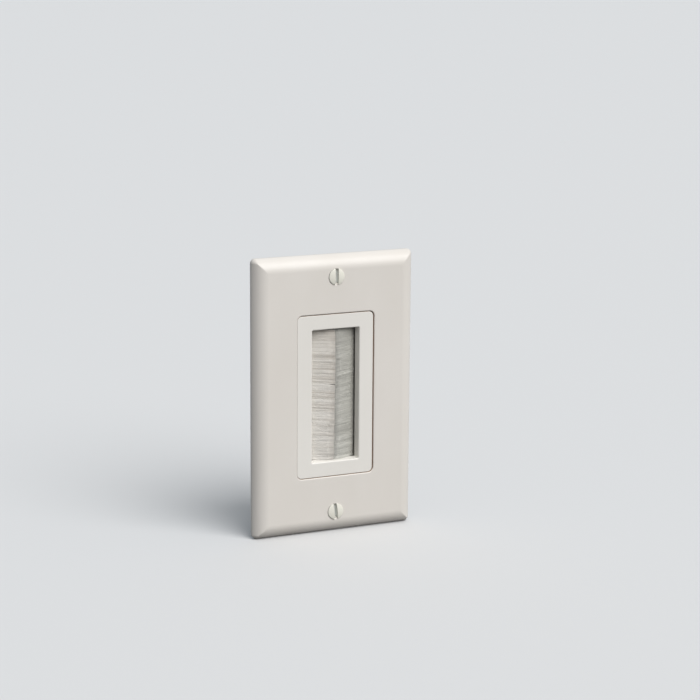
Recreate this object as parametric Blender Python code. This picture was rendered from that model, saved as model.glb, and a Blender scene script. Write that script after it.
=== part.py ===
"""Decorator wall plate with a brush window: cover plate, brush insert, two strip brushes, clamp and screws.

The wall is the plane y = 0. The plate's front faces -Y and +Z is up. The origin is the centre of the
plate's outline on the wall plane, so everything with positive y stands inside the wall.
"""

import bmesh
import bpy
from math import cos, pi, radians, sin, sqrt, tan
from mathutils import Matrix, Vector

MM = 0.001

# Clearances
TOUCH_GAP = 0.3 * MM           # between two pieces that rest on or run in each other
OPENING_GAP = 0.25 * MM        # round the insert in the plate's opening
TIP_GAP = 0.3 * MM             # between the tips of the two brushes
BRUSH_END_GAP = 0.35 * MM      # between a brush and the window's top and bottom
OVERLAP = 0.4 * MM             # how far joined shapes run into each other
CUT_PAST = 1.0 * MM            # how far a cutter runs past a face

# Cover plate
PLATE_WIDTH = 69.85 * MM
PLATE_HEIGHT = 114.3 * MM
PLATE_DEPTH = 5.6 * MM         # wall to front face
PLATE_WALL = 2.0 * MM
PLATE_EDGE = 1.6 * MM          # straight side before the bevel starts
PLATE_CORNER = 2.0 * MM
RIM_WALL = 2.0 * MM
RIM_STEP = 1.2 * MM            # depth of the straight part inside the rim
BEVEL_ANGLE = radians(68)      # slope against the face where the crowned bevel meets the side
BEVEL_ROUND = 6.3 * MM
MITRE_ROUND = 0.35 * MM
LIP_ROUND = 0.45 * MM
COLLAR_WALL = 1.4 * MM
RIB_THICKNESS = 1.2 * MM
RIB_SPACING = 22.0 * MM
RIBS_EACH_SIDE = 4
BOSS_DIAMETER = 8.6 * MM
RELIEF_FLOOR = 0.1 * MM        # height of the boss that is left over each box screw's head
PLATE_SCREW_SPACING = 96.84 * MM

# Insert, front part
OPENING_WIDTH = 33.7 * MM
OPENING_HEIGHT = 67.1 * MM
OPENING_CORNER = 2.2 * MM
INSERT_SETBACK = 0.2 * MM      # face of the insert behind the face of the plate
INSERT_WALL = 2.0 * MM
INSERT_SIDE_WALL = 1.8 * MM
INSERT_ROUND = 0.35 * MM
WINDOW_WIDTH = 20.6 * MM
WINDOW_HEIGHT = 54.5 * MM
WINDOW_CORNER = 0.5 * MM
WINDOW_ROUND = 0.4 * MM
REVEAL_DEPTH = 3.4 * MM
REVEAL_WALL = 1.8 * MM

# Insert, body behind the plate
BODY_SIDE_WALL = 2.2 * MM
BODY_CORNER = 2.5 * MM
LEDGE_DEPTH = 1.1 * MM
PAD_THICKNESS = 1.2 * MM
PADS_EACH_SIDE = 5
PAD_SPACING = 12.5 * MM
POCKET_RECESS = 1.05 * MM      # end of the brush pocket beyond the window's end
CORE_WIDTH = 18.0 * MM
CORE_THICKNESS = 2.0 * MM
CORE_CORNER = 0.5 * MM
EAR_WIDTH = 22.0 * MM
EAR_THICKNESS = 1.6 * MM
EAR_REACH = 52.9 * MM          # from the centre to the ear's end
EAR_CORNER = 3.0 * MM
GUSSET_THICKNESS = 1.4 * MM
GUSSET_LENGTH = 3.6 * MM
GUSSET_SPACING = 17.0 * MM
BOX_SCREW_SPACING = 83.34 * MM
SLOT_LENGTH = 7.6 * MM

# Strip brushes
CHANNEL_THICKNESS = 5.0 * MM
CHANNEL_DEPTH = 5.5 * MM
CHANNEL_RECESS = 1.0 * MM      # mouth of the channel behind the window's side
CHANNEL_SHEET = 0.7 * MM
WIRE_DIAMETER = 1.4 * MM
BRUSH_RISE_FRONT = 5.6 * MM    # how far the tips spring towards the room, front filaments
BRUSH_RISE_REAR = 5.0 * MM
BRUSH_CURVE = 1.5              # power of the curve from root to tip

# Rear clamp
CLAMP_THICKNESS = 2.0 * MM
CLAMP_HOLD = 4.5 * MM          # how much of each channel the clamp covers
CLAMP_ROUND = 0.8 * MM

# Screws
SCREW_DIAMETER = 3.5 * MM
PLATE_HEAD_DIAMETER = 6.6 * MM
PLATE_HEAD_RISE = 0.8 * MM
PLATE_SCREW_LENGTH = 12.7 * MM
COUNTERSINK = radians(82)
END_CHAMFER = 0.6 * MM
HEAD_SLOT_WIDTH = 1.4 * MM
HEAD_SLOT_DEPTH = 1.3 * MM
UPPER_SLOT_TURN = radians(-2)
LOWER_SLOT_TURN = radians(-8)
BOX_HEAD_DIAMETER = 7.6 * MM
BOX_HEAD_HEIGHT = 1.2 * MM
BOX_SLOT_DEPTH = 0.7 * MM
BOX_SCREW_LENGTH = 19.0 * MM
CLAMP_SCREW_DIAMETER = 2.2 * MM
CLAMP_HEAD_DIAMETER = 4.4 * MM
CLAMP_HEAD_HEIGHT = 1.4 * MM
CLAMP_SCREW_LENGTH = 8.0 * MM
CLAMP_SCREW_INSET = 2.6 * MM   # screw's axis in from the back of the channel
CLAMP_BORE_DEPTH = 5.8 * MM
CROSS_LENGTH = 2.2 * MM
CROSS_WIDTH = 0.7 * MM
CROSS_DEPTH = 0.85 * MM
RETAINER_CLEARANCE = 0.25 * MM  # between a retainer and the plate screw beside it
RETAINER_THICKNESS = 0.8 * MM
RETAINER_CORNER = 1.2 * MM

# Smoothness of round stretches
CORNER_SEGMENTS = 8
ROUND_SEGMENTS = 6
TURN_STEPS = 32
SMALL_TURN_STEPS = 20
CURVE_SEGMENTS = 12

# Places worked out from the sizes above
FACE_Y = -PLATE_DEPTH
INSERT_FACE_Y = FACE_Y + INSERT_SETBACK
EAR_FRONT_Y = -EAR_THICKNESS
COLLAR_REAR_Y = EAR_FRONT_Y - TOUCH_GAP
INSERT_WIDTH = OPENING_WIDTH - 2 * OPENING_GAP
INSERT_HEIGHT = OPENING_HEIGHT - 2 * OPENING_GAP
LEDGE_Y = EAR_FRONT_Y + LEDGE_DEPTH
CHANNEL_FRONT_Y = LEDGE_Y + TOUCH_GAP
BODY_REAR_Y = CHANNEL_FRONT_Y + CHANNEL_THICKNESS
CHANNEL_MID_Y = CHANNEL_FRONT_Y + CHANNEL_THICKNESS / 2
CHANNEL_MOUTH_X = WINDOW_WIDTH / 2 + CHANNEL_RECESS
CHANNEL_BACK_X = CHANNEL_MOUTH_X + CHANNEL_DEPTH
POCKET_WIDTH = 2 * (CHANNEL_BACK_X + TOUCH_GAP)
POCKET_HEIGHT = WINDOW_HEIGHT + 2 * POCKET_RECESS
BODY_WIDTH = POCKET_WIDTH + 2 * BODY_SIDE_WALL
CHANNEL_LENGTH = POCKET_HEIGHT - 2 * TOUCH_GAP
FOLD_X = CHANNEL_BACK_X - CHANNEL_THICKNESS / 2
BRUSH_THICKNESS = CHANNEL_THICKNESS - 2 * CHANNEL_SHEET - 2 * TOUCH_GAP
BRUSH_LENGTH = WINDOW_HEIGHT - 2 * BRUSH_END_GAP
CLAMP_FRONT_Y = BODY_REAR_Y + TOUCH_GAP
CLAMP_REAR_Y = CLAMP_FRONT_Y + CLAMP_THICKNESS
CLAMP_OPENING_WIDTH = 2 * (CHANNEL_BACK_X - CLAMP_HOLD)
SCREW_HOLE = SCREW_DIAMETER + 2 * TOUCH_GAP
SCREW_STEP = (PLATE_SCREW_SPACING - BOX_SCREW_SPACING) / 2
RETAINER_SIZE = 2 * (SCREW_STEP - SCREW_DIAMETER / 2 - RETAINER_CLEARANCE)
CLAMP_HOLE = CLAMP_SCREW_DIAMETER + 2 * TOUCH_GAP
CLAMP_SCREW_X = CHANNEL_BACK_X - CLAMP_SCREW_INSET
CLAMP_SCREW_Z = (INSERT_HEIGHT + POCKET_HEIGHT) / 4
FRONT_FRAME_REAR_Y = EAR_FRONT_Y + OVERLAP


def clear_scene():
    """Empties the file that Blender starts with."""
    for thing in list(bpy.data.objects):
        bpy.data.objects.remove(thing, do_unlink=True)


def surface(name, colour, roughness, metallic=0.0):
    """A plain surface for one kind of material."""
    made = bpy.data.materials.new(name)
    made.use_nodes = True
    shader = made.node_tree.nodes["Principled BSDF"]
    shader.inputs["Base Color"].default_value = (*colour, 1.0)
    shader.inputs["Roughness"].default_value = roughness
    shader.inputs["Metallic"].default_value = metallic
    return made


def plate_plastic():
    return surface("plate_plastic", (0.71, 0.67, 0.61), 0.32)


def insert_plastic():
    return surface("insert_plastic", (0.75, 0.72, 0.67), 0.36)


def clamp_plastic():
    return surface("clamp_plastic", (0.70, 0.68, 0.63), 0.42)


def nylon_filament():
    return surface("nylon_filament", (0.60, 0.58, 0.52), 0.5)


def galvanised_strip():
    return surface("galvanised_strip", (0.52, 0.53, 0.53), 0.38, 1.0)


def steel_wire():
    return surface("steel_wire", (0.45, 0.45, 0.46), 0.35, 1.0)


def screw_enamel():
    return surface("screw_enamel", (0.76, 0.75, 0.66), 0.34)


def zinc_steel():
    return surface("zinc_steel", (0.58, 0.60, 0.62), 0.3, 1.0)


def retainer_fibre():
    return surface("retainer_fibre", (0.42, 0.30, 0.20), 0.8)


def object_from(name, bm, material=None):
    """Turns a bmesh into an object, with its doubled points merged and its faces outward."""
    bmesh.ops.remove_doubles(bm, verts=bm.verts, dist=1e-7)
    bmesh.ops.recalc_face_normals(bm, faces=bm.faces)
    mesh = bpy.data.meshes.new(name)
    bm.to_mesh(mesh)
    bm.free()
    made = bpy.data.objects.new(name, mesh)
    bpy.context.scene.collection.objects.link(made)
    if material:
        mesh.materials.append(material)
    return made


def smooth(thing, angle=radians(28)):
    """Shades the round stretches smooth and keeps the corners crisp."""
    thing.data.shade_smooth()
    thing.data.set_sharp_from_angle(angle=angle)


def settle_shading(thing):
    """Lets the large flat faces set the shading where a round or a cut meets them."""
    step = thing.modifiers.new("settled_shading", "WEIGHTED_NORMAL")
    step.keep_sharp = True


def as_helper(thing):
    """A cutter or a shape to be joined: left out of the render."""
    thing.hide_render = True
    thing.display_type = "WIRE"
    return thing


def combine(target, helper, operation):
    """Cuts a helper from the target, or joins it to the target."""
    step = target.modifiers.new(helper.name, "BOOLEAN")
    step.operation = operation
    step.solver = "EXACT"
    step.object = as_helper(helper)


def rounded_rectangle(width, height, corner):
    """Points (x, z) round a rectangle whose corners are arcs, anticlockwise from the lower right."""
    points = []
    for quarter in range(4):
        side_x = 1 if quarter in (0, 1) else -1
        side_z = 1 if quarter in (1, 2) else -1
        centre_x = side_x * (width / 2 - corner)
        centre_z = side_z * (height / 2 - corner)
        start = (quarter - 1) * pi / 2
        for step in range(CORNER_SEGMENTS + 1):
            angle = start + step / CORNER_SEGMENTS * pi / 2
            points.append((centre_x + corner * cos(angle), centre_z + corner * sin(angle)))
    return points


def framed_solid(name, sections, material=None):
    """A frame: rounded rectangles, each (width, height, corner, y), bridged in turn and back to the first."""
    bm = bmesh.new()
    loops = []
    for width, height, corner, y in sections:
        ring = [bm.verts.new((x, y, z)) for x, z in rounded_rectangle(width, height, corner)]
        loops.append(ring)
    for index, ring in enumerate(loops):
        following = loops[(index + 1) % len(loops)]
        for here in range(len(ring)):
            there = (here + 1) % len(ring)
            bm.faces.new((ring[here], ring[there], following[there], following[here]))
    return object_from(name, bm, material)


def extruded(name, corners, push, material=None):
    """A flat outline of (x, y, z) corners, pushed along a vector."""
    bm = bmesh.new()
    face = bm.faces.new([bm.verts.new(corner) for corner in corners])
    pushed = bmesh.ops.extrude_face_region(bm, geom=[face])
    moved = [item for item in pushed["geom"] if isinstance(item, bmesh.types.BMVert)]
    bmesh.ops.translate(bm, verts=moved, vec=push)
    return object_from(name, bm, material)


def slab(name, width, height, corner, front, rear, centre=(0.0, 0.0), material=None):
    """A rounded rectangle pushed from y = front to y = rear."""
    outline = rounded_rectangle(width, height, corner)
    corners = [(centre[0] + x, front, centre[1] + z) for x, z in outline]
    return extruded(name, corners, (0, rear - front, 0), material)


def box(name, low, high, material=None):
    """A plain block between two corners."""
    bm = bmesh.new()
    bmesh.ops.create_cube(bm, size=1.0)
    size = Vector(high) - Vector(low)
    middle = (Vector(high) + Vector(low)) / 2
    placed = Matrix.Translation(middle) @ Matrix.Diagonal((*size, 1.0))
    bmesh.ops.transform(bm, matrix=placed, verts=bm.verts)
    return object_from(name, bm, material)


def turned(name, profile, steps, material=None):
    """Spins a profile of (radius, y) points once round the y axis."""
    bm = bmesh.new()
    line = [bm.verts.new((radius, y, 0)) for radius, y in profile]
    edges = [bm.edges.new(pair) for pair in zip(line, line[1:])]
    bmesh.ops.spin(
        bm, geom=line + edges, cent=(0, 0, 0), axis=(0, 1, 0), angle=2 * pi, steps=steps, use_merge=True
    )
    made = object_from(name, bm, material)
    smooth(made)
    return made


def arc(centre, radius, start, end, segments):
    """Points on an arc, both ends included."""
    angles = [start + (end - start) * step / segments for step in range(segments + 1)]
    return [(centre[0] + radius * cos(angle), centre[1] + radius * sin(angle)) for angle in angles]


def bevel_profile():
    """(inset, y) points of the plate's front edge: straight side, a short steep slope, then an arc to the face."""
    arc_depth = BEVEL_ROUND * (1 - cos(BEVEL_ANGLE))
    slope_end_depth = PLATE_DEPTH - arc_depth
    slope_inset = (slope_end_depth - PLATE_EDGE) / tan(BEVEL_ANGLE)
    points = [(0.0, -PLATE_EDGE)]
    for step in range(2 * ROUND_SEGMENTS + 1):
        angle = BEVEL_ANGLE * (1 - step / (2 * ROUND_SEGMENTS))
        inset = slope_inset + BEVEL_ROUND * (sin(BEVEL_ANGLE) - sin(angle))
        depth = PLATE_DEPTH - BEVEL_ROUND * (1 - cos(angle))
        points.append((inset, -depth))
    return points


def plate_section(inset, y):
    """One rounded rectangle of the plate, this far inside its outline."""
    corner = max(PLATE_CORNER - inset, MITRE_ROUND)
    return (PLATE_WIDTH - 2 * inset, PLATE_HEIGHT - 2 * inset, corner, y)


def opening_section(grow, y):
    """One rounded rectangle round the plate's opening."""
    return (OPENING_WIDTH + 2 * grow, OPENING_HEIGHT + 2 * grow, OPENING_CORNER + grow, y)


def plate_frame():
    """Bevelled front, opening with its collar, hollow back and rim, as one closed profile."""
    front = [plate_section(inset, y) for inset, y in bevel_profile()]
    lip = []
    for step in range(ROUND_SEGMENTS + 1):
        angle = step / ROUND_SEGMENTS * pi / 2
        grow = LIP_ROUND * (1 - sin(angle))
        lip.append(opening_section(grow, FACE_Y + LIP_ROUND * (1 - cos(angle))))
    bevel_width = bevel_profile()[-1][0]
    inner_y = FACE_Y + PLATE_WALL
    back = [
        opening_section(0.0, COLLAR_REAR_Y),
        opening_section(COLLAR_WALL, COLLAR_REAR_Y),
        opening_section(COLLAR_WALL, inner_y),
        plate_section(bevel_width, inner_y),
        plate_section(RIM_WALL, -RIM_STEP),
        plate_section(RIM_WALL, 0.0),
    ]
    return framed_solid("cover_plate", [plate_section(0.0, 0.0)] + front + lip + back, plate_plastic())


def add_plate_ribs(plate):
    """Cross ribs between the collar and the rim, on the hidden side."""
    inner_y = FACE_Y + PLATE_WALL
    near = OPENING_WIDTH / 2 + COLLAR_WALL - OVERLAP
    far = PLATE_WIDTH / 2 - RIM_WALL - RIM_STEP
    for side in (-1, 1):
        for index in range(RIBS_EACH_SIDE):
            z = (index - (RIBS_EACH_SIDE - 1) / 2) * RIB_SPACING
            low = (min(side * near, side * far), inner_y - OVERLAP, z - RIB_THICKNESS / 2)
            high = (max(side * near, side * far), COLLAR_REAR_Y, z + RIB_THICKNESS / 2)
            combine(plate, box(f"plate_rib_{side}_{index}", low, high), "UNION")


def relief_cutter(name, z):
    """Room for a box screw's head beside the boss of the plate screw."""
    radius = BOX_HEAD_DIAMETER / 2 + TOUCH_GAP
    start = FACE_Y + PLATE_WALL + RELIEF_FLOOR
    cutter = turned(name, [(0, start), (radius, start), (radius, 0), (0, 0)], TURN_STEPS)
    cutter.location.z = z
    return cutter


def add_screw_seats(plate):
    """A boss behind each screw, cut back beside the box screw's head, and a countersunk hole through it."""
    hole = SCREW_HOLE / 2
    rim = PLATE_HEAD_DIAMETER / 2 + TOUCH_GAP
    cone_depth = (rim - hole) / tan(COUNTERSINK / 2)
    flare_radius = rim + CUT_PAST * tan(COUNTERSINK / 2)
    for name, side in (("upper", 1), ("lower", -1)):
        z = side * PLATE_SCREW_SPACING / 2
        boss_profile = [
            (0, FACE_Y + PLATE_WALL - OVERLAP),
            (BOSS_DIAMETER / 2, FACE_Y + PLATE_WALL - OVERLAP),
            (BOSS_DIAMETER / 2, COLLAR_REAR_Y),
            (0, COLLAR_REAR_Y),
        ]
        boss = turned(f"{name}_boss", boss_profile, TURN_STEPS)
        boss.location.z = z
        combine(plate, boss, "UNION")
        relief = relief_cutter(f"{name}_head_relief", side * BOX_SCREW_SPACING / 2)
        combine(plate, relief, "DIFFERENCE")
        hole_profile = [
            (0, FACE_Y - CUT_PAST),
            (flare_radius, FACE_Y - CUT_PAST),
            (hole, FACE_Y + cone_depth),
            (hole, CUT_PAST),
            (0, CUT_PAST),
        ]
        cutter = turned(f"{name}_countersink", hole_profile, TURN_STEPS)
        cutter.location.z = z
        combine(plate, cutter, "DIFFERENCE")


def make_cover_plate():
    plate = plate_frame()
    smooth(plate)
    add_plate_ribs(plate)
    add_screw_seats(plate)
    settle_shading(plate)
    return plate


def insert_section(inset, y):
    """One rounded rectangle of the insert's outside."""
    corner = max(OPENING_CORNER - OPENING_GAP - inset, WINDOW_CORNER)
    return (INSERT_WIDTH - 2 * inset, INSERT_HEIGHT - 2 * inset, corner, y)


def window_section(grow, y):
    """One rounded rectangle round the brush window."""
    return (WINDOW_WIDTH + 2 * grow, WINDOW_HEIGHT + 2 * grow, WINDOW_CORNER + grow, y)


def insert_front():
    """Front wall with rounded edges, outer side wall and the deep reveal of the window."""
    inner_y = INSERT_FACE_Y + INSERT_WALL
    reveal_y = INSERT_FACE_Y + REVEAL_DEPTH
    edge = []
    lip = []
    for step in range(ROUND_SEGMENTS + 1):
        angle = step / ROUND_SEGMENTS * pi / 2
        inset = INSERT_ROUND * (1 - cos(angle))
        grow = WINDOW_ROUND * (1 - sin(angle))
        edge.append(insert_section(inset, INSERT_FACE_Y + INSERT_ROUND * (1 - sin(angle))))
        lip.append(window_section(grow, INSERT_FACE_Y + WINDOW_ROUND * (1 - cos(angle))))
    inside = [
        window_section(0.0, reveal_y),
        window_section(REVEAL_WALL, reveal_y),
        window_section(REVEAL_WALL, inner_y),
        insert_section(INSERT_SIDE_WALL, inner_y),
        insert_section(INSERT_SIDE_WALL, FRONT_FRAME_REAR_Y),
    ]
    sections = [insert_section(0.0, FRONT_FRAME_REAR_Y)] + edge + lip + inside
    return framed_solid("brush_insert", sections, insert_plastic())


def add_body(insert):
    """The block behind the plate, with its pocket for the brushes and the ledge they rest on."""
    well = INSERT_WIDTH - 2 * INSERT_SIDE_WALL
    behind = BODY_REAR_Y + CUT_PAST
    body = slab("insert_body", BODY_WIDTH, INSERT_HEIGHT, BODY_CORNER, EAR_FRONT_Y, BODY_REAR_Y)
    pocket = slab("brush_pocket", POCKET_WIDTH, POCKET_HEIGHT, WINDOW_CORNER, LEDGE_Y, behind)
    through = slab(
        "front_well", well, POCKET_HEIGHT, WINDOW_CORNER, EAR_FRONT_Y - OVERLAP, LEDGE_Y + OVERLAP
    )
    combine(body, pocket, "DIFFERENCE")
    combine(body, through, "DIFFERENCE")
    combine(insert, body, "UNION")


def add_support_pads(insert):
    """Short ribs between the reveal and the side wall that carry the mouth of each channel."""
    near = WINDOW_WIDTH / 2 + REVEAL_WALL - OVERLAP
    far = INSERT_WIDTH / 2 - INSERT_SIDE_WALL + OVERLAP
    front = INSERT_FACE_Y + INSERT_WALL - OVERLAP
    for side in (-1, 1):
        for index in range(PADS_EACH_SIDE):
            z = (index - (PADS_EACH_SIDE - 1) / 2) * PAD_SPACING
            low = (min(side * near, side * far), front, z - PAD_THICKNESS / 2)
            high = (max(side * near, side * far), LEDGE_Y, z + PAD_THICKNESS / 2)
            combine(insert, box(f"support_pad_{side}_{index}", low, high), "UNION")


def add_ears(insert):
    """The two ears on the wall, each with its gussets, a threaded hole and a slot for the box screw."""
    root = INSERT_HEIGHT / 2 - EAR_CORNER - OVERLAP
    length = EAR_REACH - root
    for name, side in (("upper", 1), ("lower", -1)):
        centre = (0.0, side * (root + length / 2))
        ear = slab(f"{name}_ear", EAR_WIDTH, length, EAR_CORNER, EAR_FRONT_Y, 0.0, centre)
        combine(insert, ear, "UNION")
        for across in (-1, 1):
            combine(insert, gusset(f"{name}_gusset_{across}", across, side), "UNION")
        hole = turned(f"{name}_ear_hole", pin_profile(SCREW_HOLE), TURN_STEPS)
        hole.location.z = side * PLATE_SCREW_SPACING / 2
        combine(insert, hole, "DIFFERENCE")
        centre = (0.0, side * BOX_SCREW_SPACING / 2)
        slot = slab(
            f"{name}_ear_slot", SLOT_LENGTH, SCREW_HOLE, SCREW_HOLE / 2, -PLATE_DEPTH, PLATE_DEPTH, centre
        )
        combine(insert, slot, "DIFFERENCE")


def gusset(name, across, side):
    """A small triangle that stiffens the ear's root from behind."""
    root = INSERT_HEIGHT / 2
    reach = root + GUSSET_LENGTH
    x = across * GUSSET_SPACING / 2
    outline = [
        (root - OVERLAP, -OVERLAP),
        (reach + OVERLAP, -OVERLAP),
        (root - OVERLAP, GUSSET_LENGTH),
    ]
    corners = [(x - GUSSET_THICKNESS / 2, y, side * z) for z, y in outline]
    return extruded(name, corners, (GUSSET_THICKNESS, 0, 0))


def pin_profile(diameter):
    """A plain pin along y, long enough to pass right through the insert's ear."""
    radius = diameter / 2
    return [(0, -PLATE_DEPTH), (radius, -PLATE_DEPTH), (radius, PLATE_DEPTH), (0, PLATE_DEPTH)]


def clamp_screw_places():
    """Name and (x, z) of the four clamp screws."""
    for height, side_z in (("upper", 1), ("lower", -1)):
        for hand, side_x in (("left", -1), ("right", 1)):
            yield f"{height}_{hand}", side_x * CLAMP_SCREW_X, side_z * CLAMP_SCREW_Z


def cut_end_walls(insert):
    """Screw bores in the corners and a cored slot in the middle of each end wall."""
    radius = CLAMP_HOLE / 2
    deep = BODY_REAR_Y - CLAMP_BORE_DEPTH
    profile = [(0, deep), (radius, deep), (radius, BODY_REAR_Y + OVERLAP), (0, BODY_REAR_Y + OVERLAP)]
    for name, x, z in clamp_screw_places():
        bore = turned(f"{name}_bore", profile, SMALL_TURN_STEPS)
        bore.location = (x, 0, z)
        combine(insert, bore, "DIFFERENCE")
    for side in (-1, 1):
        centre = (0.0, side * CLAMP_SCREW_Z)
        slot = slab(
            f"core_slot_{side}", CORE_WIDTH, CORE_THICKNESS, CORE_CORNER,
            INSERT_FACE_Y + INSERT_WALL, BODY_REAR_Y + OVERLAP, centre,
        )
        combine(insert, slot, "DIFFERENCE")


def make_brush_insert():
    insert = insert_front()
    smooth(insert)
    add_body(insert)
    add_support_pads(insert)
    add_ears(insert)
    cut_end_walls(insert)
    settle_shading(insert)
    return insert


def make_channel(name, side):
    """A strip of sheet folded into a U that is open towards the window."""
    middle_radius = (CHANNEL_THICKNESS - CHANNEL_SHEET) / 2
    front_y = CHANNEL_MID_Y - middle_radius
    rear_y = CHANNEL_MID_Y + middle_radius
    fold = arc((FOLD_X, CHANNEL_MID_Y), middle_radius, -pi / 2, pi / 2, CURVE_SEGMENTS)
    line = [(CHANNEL_MOUTH_X, front_y)] + fold + [(CHANNEL_MOUTH_X, rear_y)]
    bm = bmesh.new()
    verts = [bm.verts.new((side * x, y, -CHANNEL_LENGTH / 2)) for x, y in line]
    edges = [bm.edges.new(pair) for pair in zip(verts, verts[1:])]
    pushed = bmesh.ops.extrude_edge_only(bm, edges=edges)
    moved = [item for item in pushed["geom"] if isinstance(item, bmesh.types.BMVert)]
    bmesh.ops.translate(bm, verts=moved, vec=(0, 0, CHANNEL_LENGTH))
    channel = object_from(name, bm, galvanised_strip())
    sheet = channel.modifiers.new("sheet", "SOLIDIFY")
    sheet.thickness = CHANNEL_SHEET
    sheet.offset = 0.0
    sheet.use_even_offset = True
    smooth(channel)
    return channel


def make_core_wire(name, side):
    """The wire that the filaments are folded round, as long as the channel."""
    path = bpy.data.curves.new(name, "CURVE")
    path.dimensions = "3D"
    path.bevel_depth = WIRE_DIAMETER / 2
    path.bevel_resolution = 3
    path.use_fill_caps = True
    line = path.splines.new("POLY")
    line.points.add(1)
    line.points[0].co = (side * FOLD_X, CHANNEL_MID_Y, -CHANNEL_LENGTH / 2, 1)
    line.points[1].co = (side * FOLD_X, CHANNEL_MID_Y, CHANNEL_LENGTH / 2, 1)
    path.materials.append(steel_wire())
    wire = bpy.data.objects.new(name, path)
    bpy.context.scene.collection.objects.link(wire)
    return wire


def brush_curve(start_y, rise):
    """(x, y) points of one face of the brush, from the channel's mouth to the tips."""
    reach = CHANNEL_MOUTH_X - TIP_GAP / 2
    points = []
    for step in range(CURVE_SEGMENTS + 1):
        along = step / CURVE_SEGMENTS
        points.append((CHANNEL_MOUTH_X - reach * along, start_y - rise * along**BRUSH_CURVE))
    return points


def make_bristles(name, side):
    """The filaments as one soft body: folded round the wire, then sprung towards the room."""
    half = BRUSH_THICKNESS / 2
    front = brush_curve(CHANNEL_MID_Y - half, BRUSH_RISE_FRONT)
    rear = brush_curve(CHANNEL_MID_Y + half, BRUSH_RISE_REAR)
    fold = arc((FOLD_X, CHANNEL_MID_Y), half, pi / 2, -pi / 2, CURVE_SEGMENTS)
    corners = [(side * x, y, -BRUSH_LENGTH / 2) for x, y in front + rear[::-1] + fold]
    bristles = extruded(name, corners, (0, 0, BRUSH_LENGTH), nylon_filament())
    radius = WIRE_DIAMETER / 2 + TOUCH_GAP
    circle = arc((side * FOLD_X, CHANNEL_MID_Y), radius, 0, 2 * pi, CURVE_SEGMENTS)[:-1]
    passage = [(x, y, -BRUSH_LENGTH) for x, y in circle]
    cutter = extruded(f"{name}_wire_way", passage, (0, 0, 2 * BRUSH_LENGTH))
    combine(bristles, cutter, "DIFFERENCE")
    smooth(bristles)
    return bristles


def clamp_section(grow, y):
    """One rounded rectangle round the clamp's opening."""
    return (CLAMP_OPENING_WIDTH + 2 * grow, WINDOW_HEIGHT + 2 * grow, WINDOW_CORNER + grow, y)


def make_rear_clamp():
    """A flat frame over the channels' backs. Its opening is rounded so that cables don't chafe."""
    sections = [
        (BODY_WIDTH, INSERT_HEIGHT, BODY_CORNER, CLAMP_REAR_Y),
        (BODY_WIDTH, INSERT_HEIGHT, BODY_CORNER, CLAMP_FRONT_Y),
        clamp_section(0.0, CLAMP_FRONT_Y),
    ]
    for step in range(ROUND_SEGMENTS + 1):
        angle = step / ROUND_SEGMENTS * pi / 2
        grow = CLAMP_ROUND * (1 - cos(angle))
        sections.append(clamp_section(grow, CLAMP_REAR_Y - CLAMP_ROUND * (1 - sin(angle))))
    clamp = framed_solid("rear_clamp_frame", sections, clamp_plastic())
    smooth(clamp)
    radius = CLAMP_HOLE / 2
    low = CLAMP_FRONT_Y - OVERLAP
    high = CLAMP_REAR_Y + OVERLAP
    profile = [(0, low), (radius, low), (radius, high), (0, high)]
    for name, x, z in clamp_screw_places():
        hole = turned(f"{name}_clamp_hole", profile, SMALL_TURN_STEPS)
        hole.location = (x, 0, z)
        combine(clamp, hole, "DIFFERENCE")
    settle_shading(clamp)
    return clamp


def dome(radius, rise, base_y, towards):
    """(radius, y) points of a shallow dome from its edge to its top."""
    ball = (radius**2 + rise**2) / (2 * rise)
    points = []
    for step in range(1, 2 * ROUND_SEGMENTS + 1):
        across = radius * (1 - step / (2 * ROUND_SEGMENTS))
        height = sqrt(ball**2 - across**2) - (ball - rise)
        points.append((across, base_y + towards * height))
    return points


def shank_end(radius, tip_y):
    """The chamfered end of a machine screw."""
    return [(radius, tip_y - END_CHAMFER), (radius - END_CHAMFER, tip_y), (0, tip_y)]


def slot_cutter(name, top_y, depth, reach, turn, z):
    """A blade that cuts a straight driver slot into a head whose top is at top_y."""
    half = HEAD_SLOT_WIDTH / 2
    blade = box(name, (-half, top_y - CUT_PAST, -reach), (half, top_y + depth, reach))
    blade.rotation_euler.y = turn
    blade.location.z = z
    return blade


def make_plate_screw(name, z, turn):
    """Oval head screw with a straight slot, countersunk into the plate."""
    edge = PLATE_HEAD_DIAMETER / 2
    shank = SCREW_DIAMETER / 2
    neck_y = FACE_Y + (edge - shank) / tan(COUNTERSINK / 2)
    head = dome(edge, PLATE_HEAD_RISE, FACE_Y, -1)
    end = shank_end(shank, FACE_Y + PLATE_SCREW_LENGTH)
    profile = head[::-1] + [(edge, FACE_Y), (shank, neck_y)] + end
    screw = turned(name, profile, TURN_STEPS, screw_enamel())
    screw.location.z = z
    top_y = FACE_Y - PLATE_HEAD_RISE
    blade = slot_cutter(f"{name}_slot", top_y, HEAD_SLOT_DEPTH, PLATE_HEAD_DIAMETER, turn, z)
    combine(screw, blade, "DIFFERENCE")
    return screw


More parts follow.
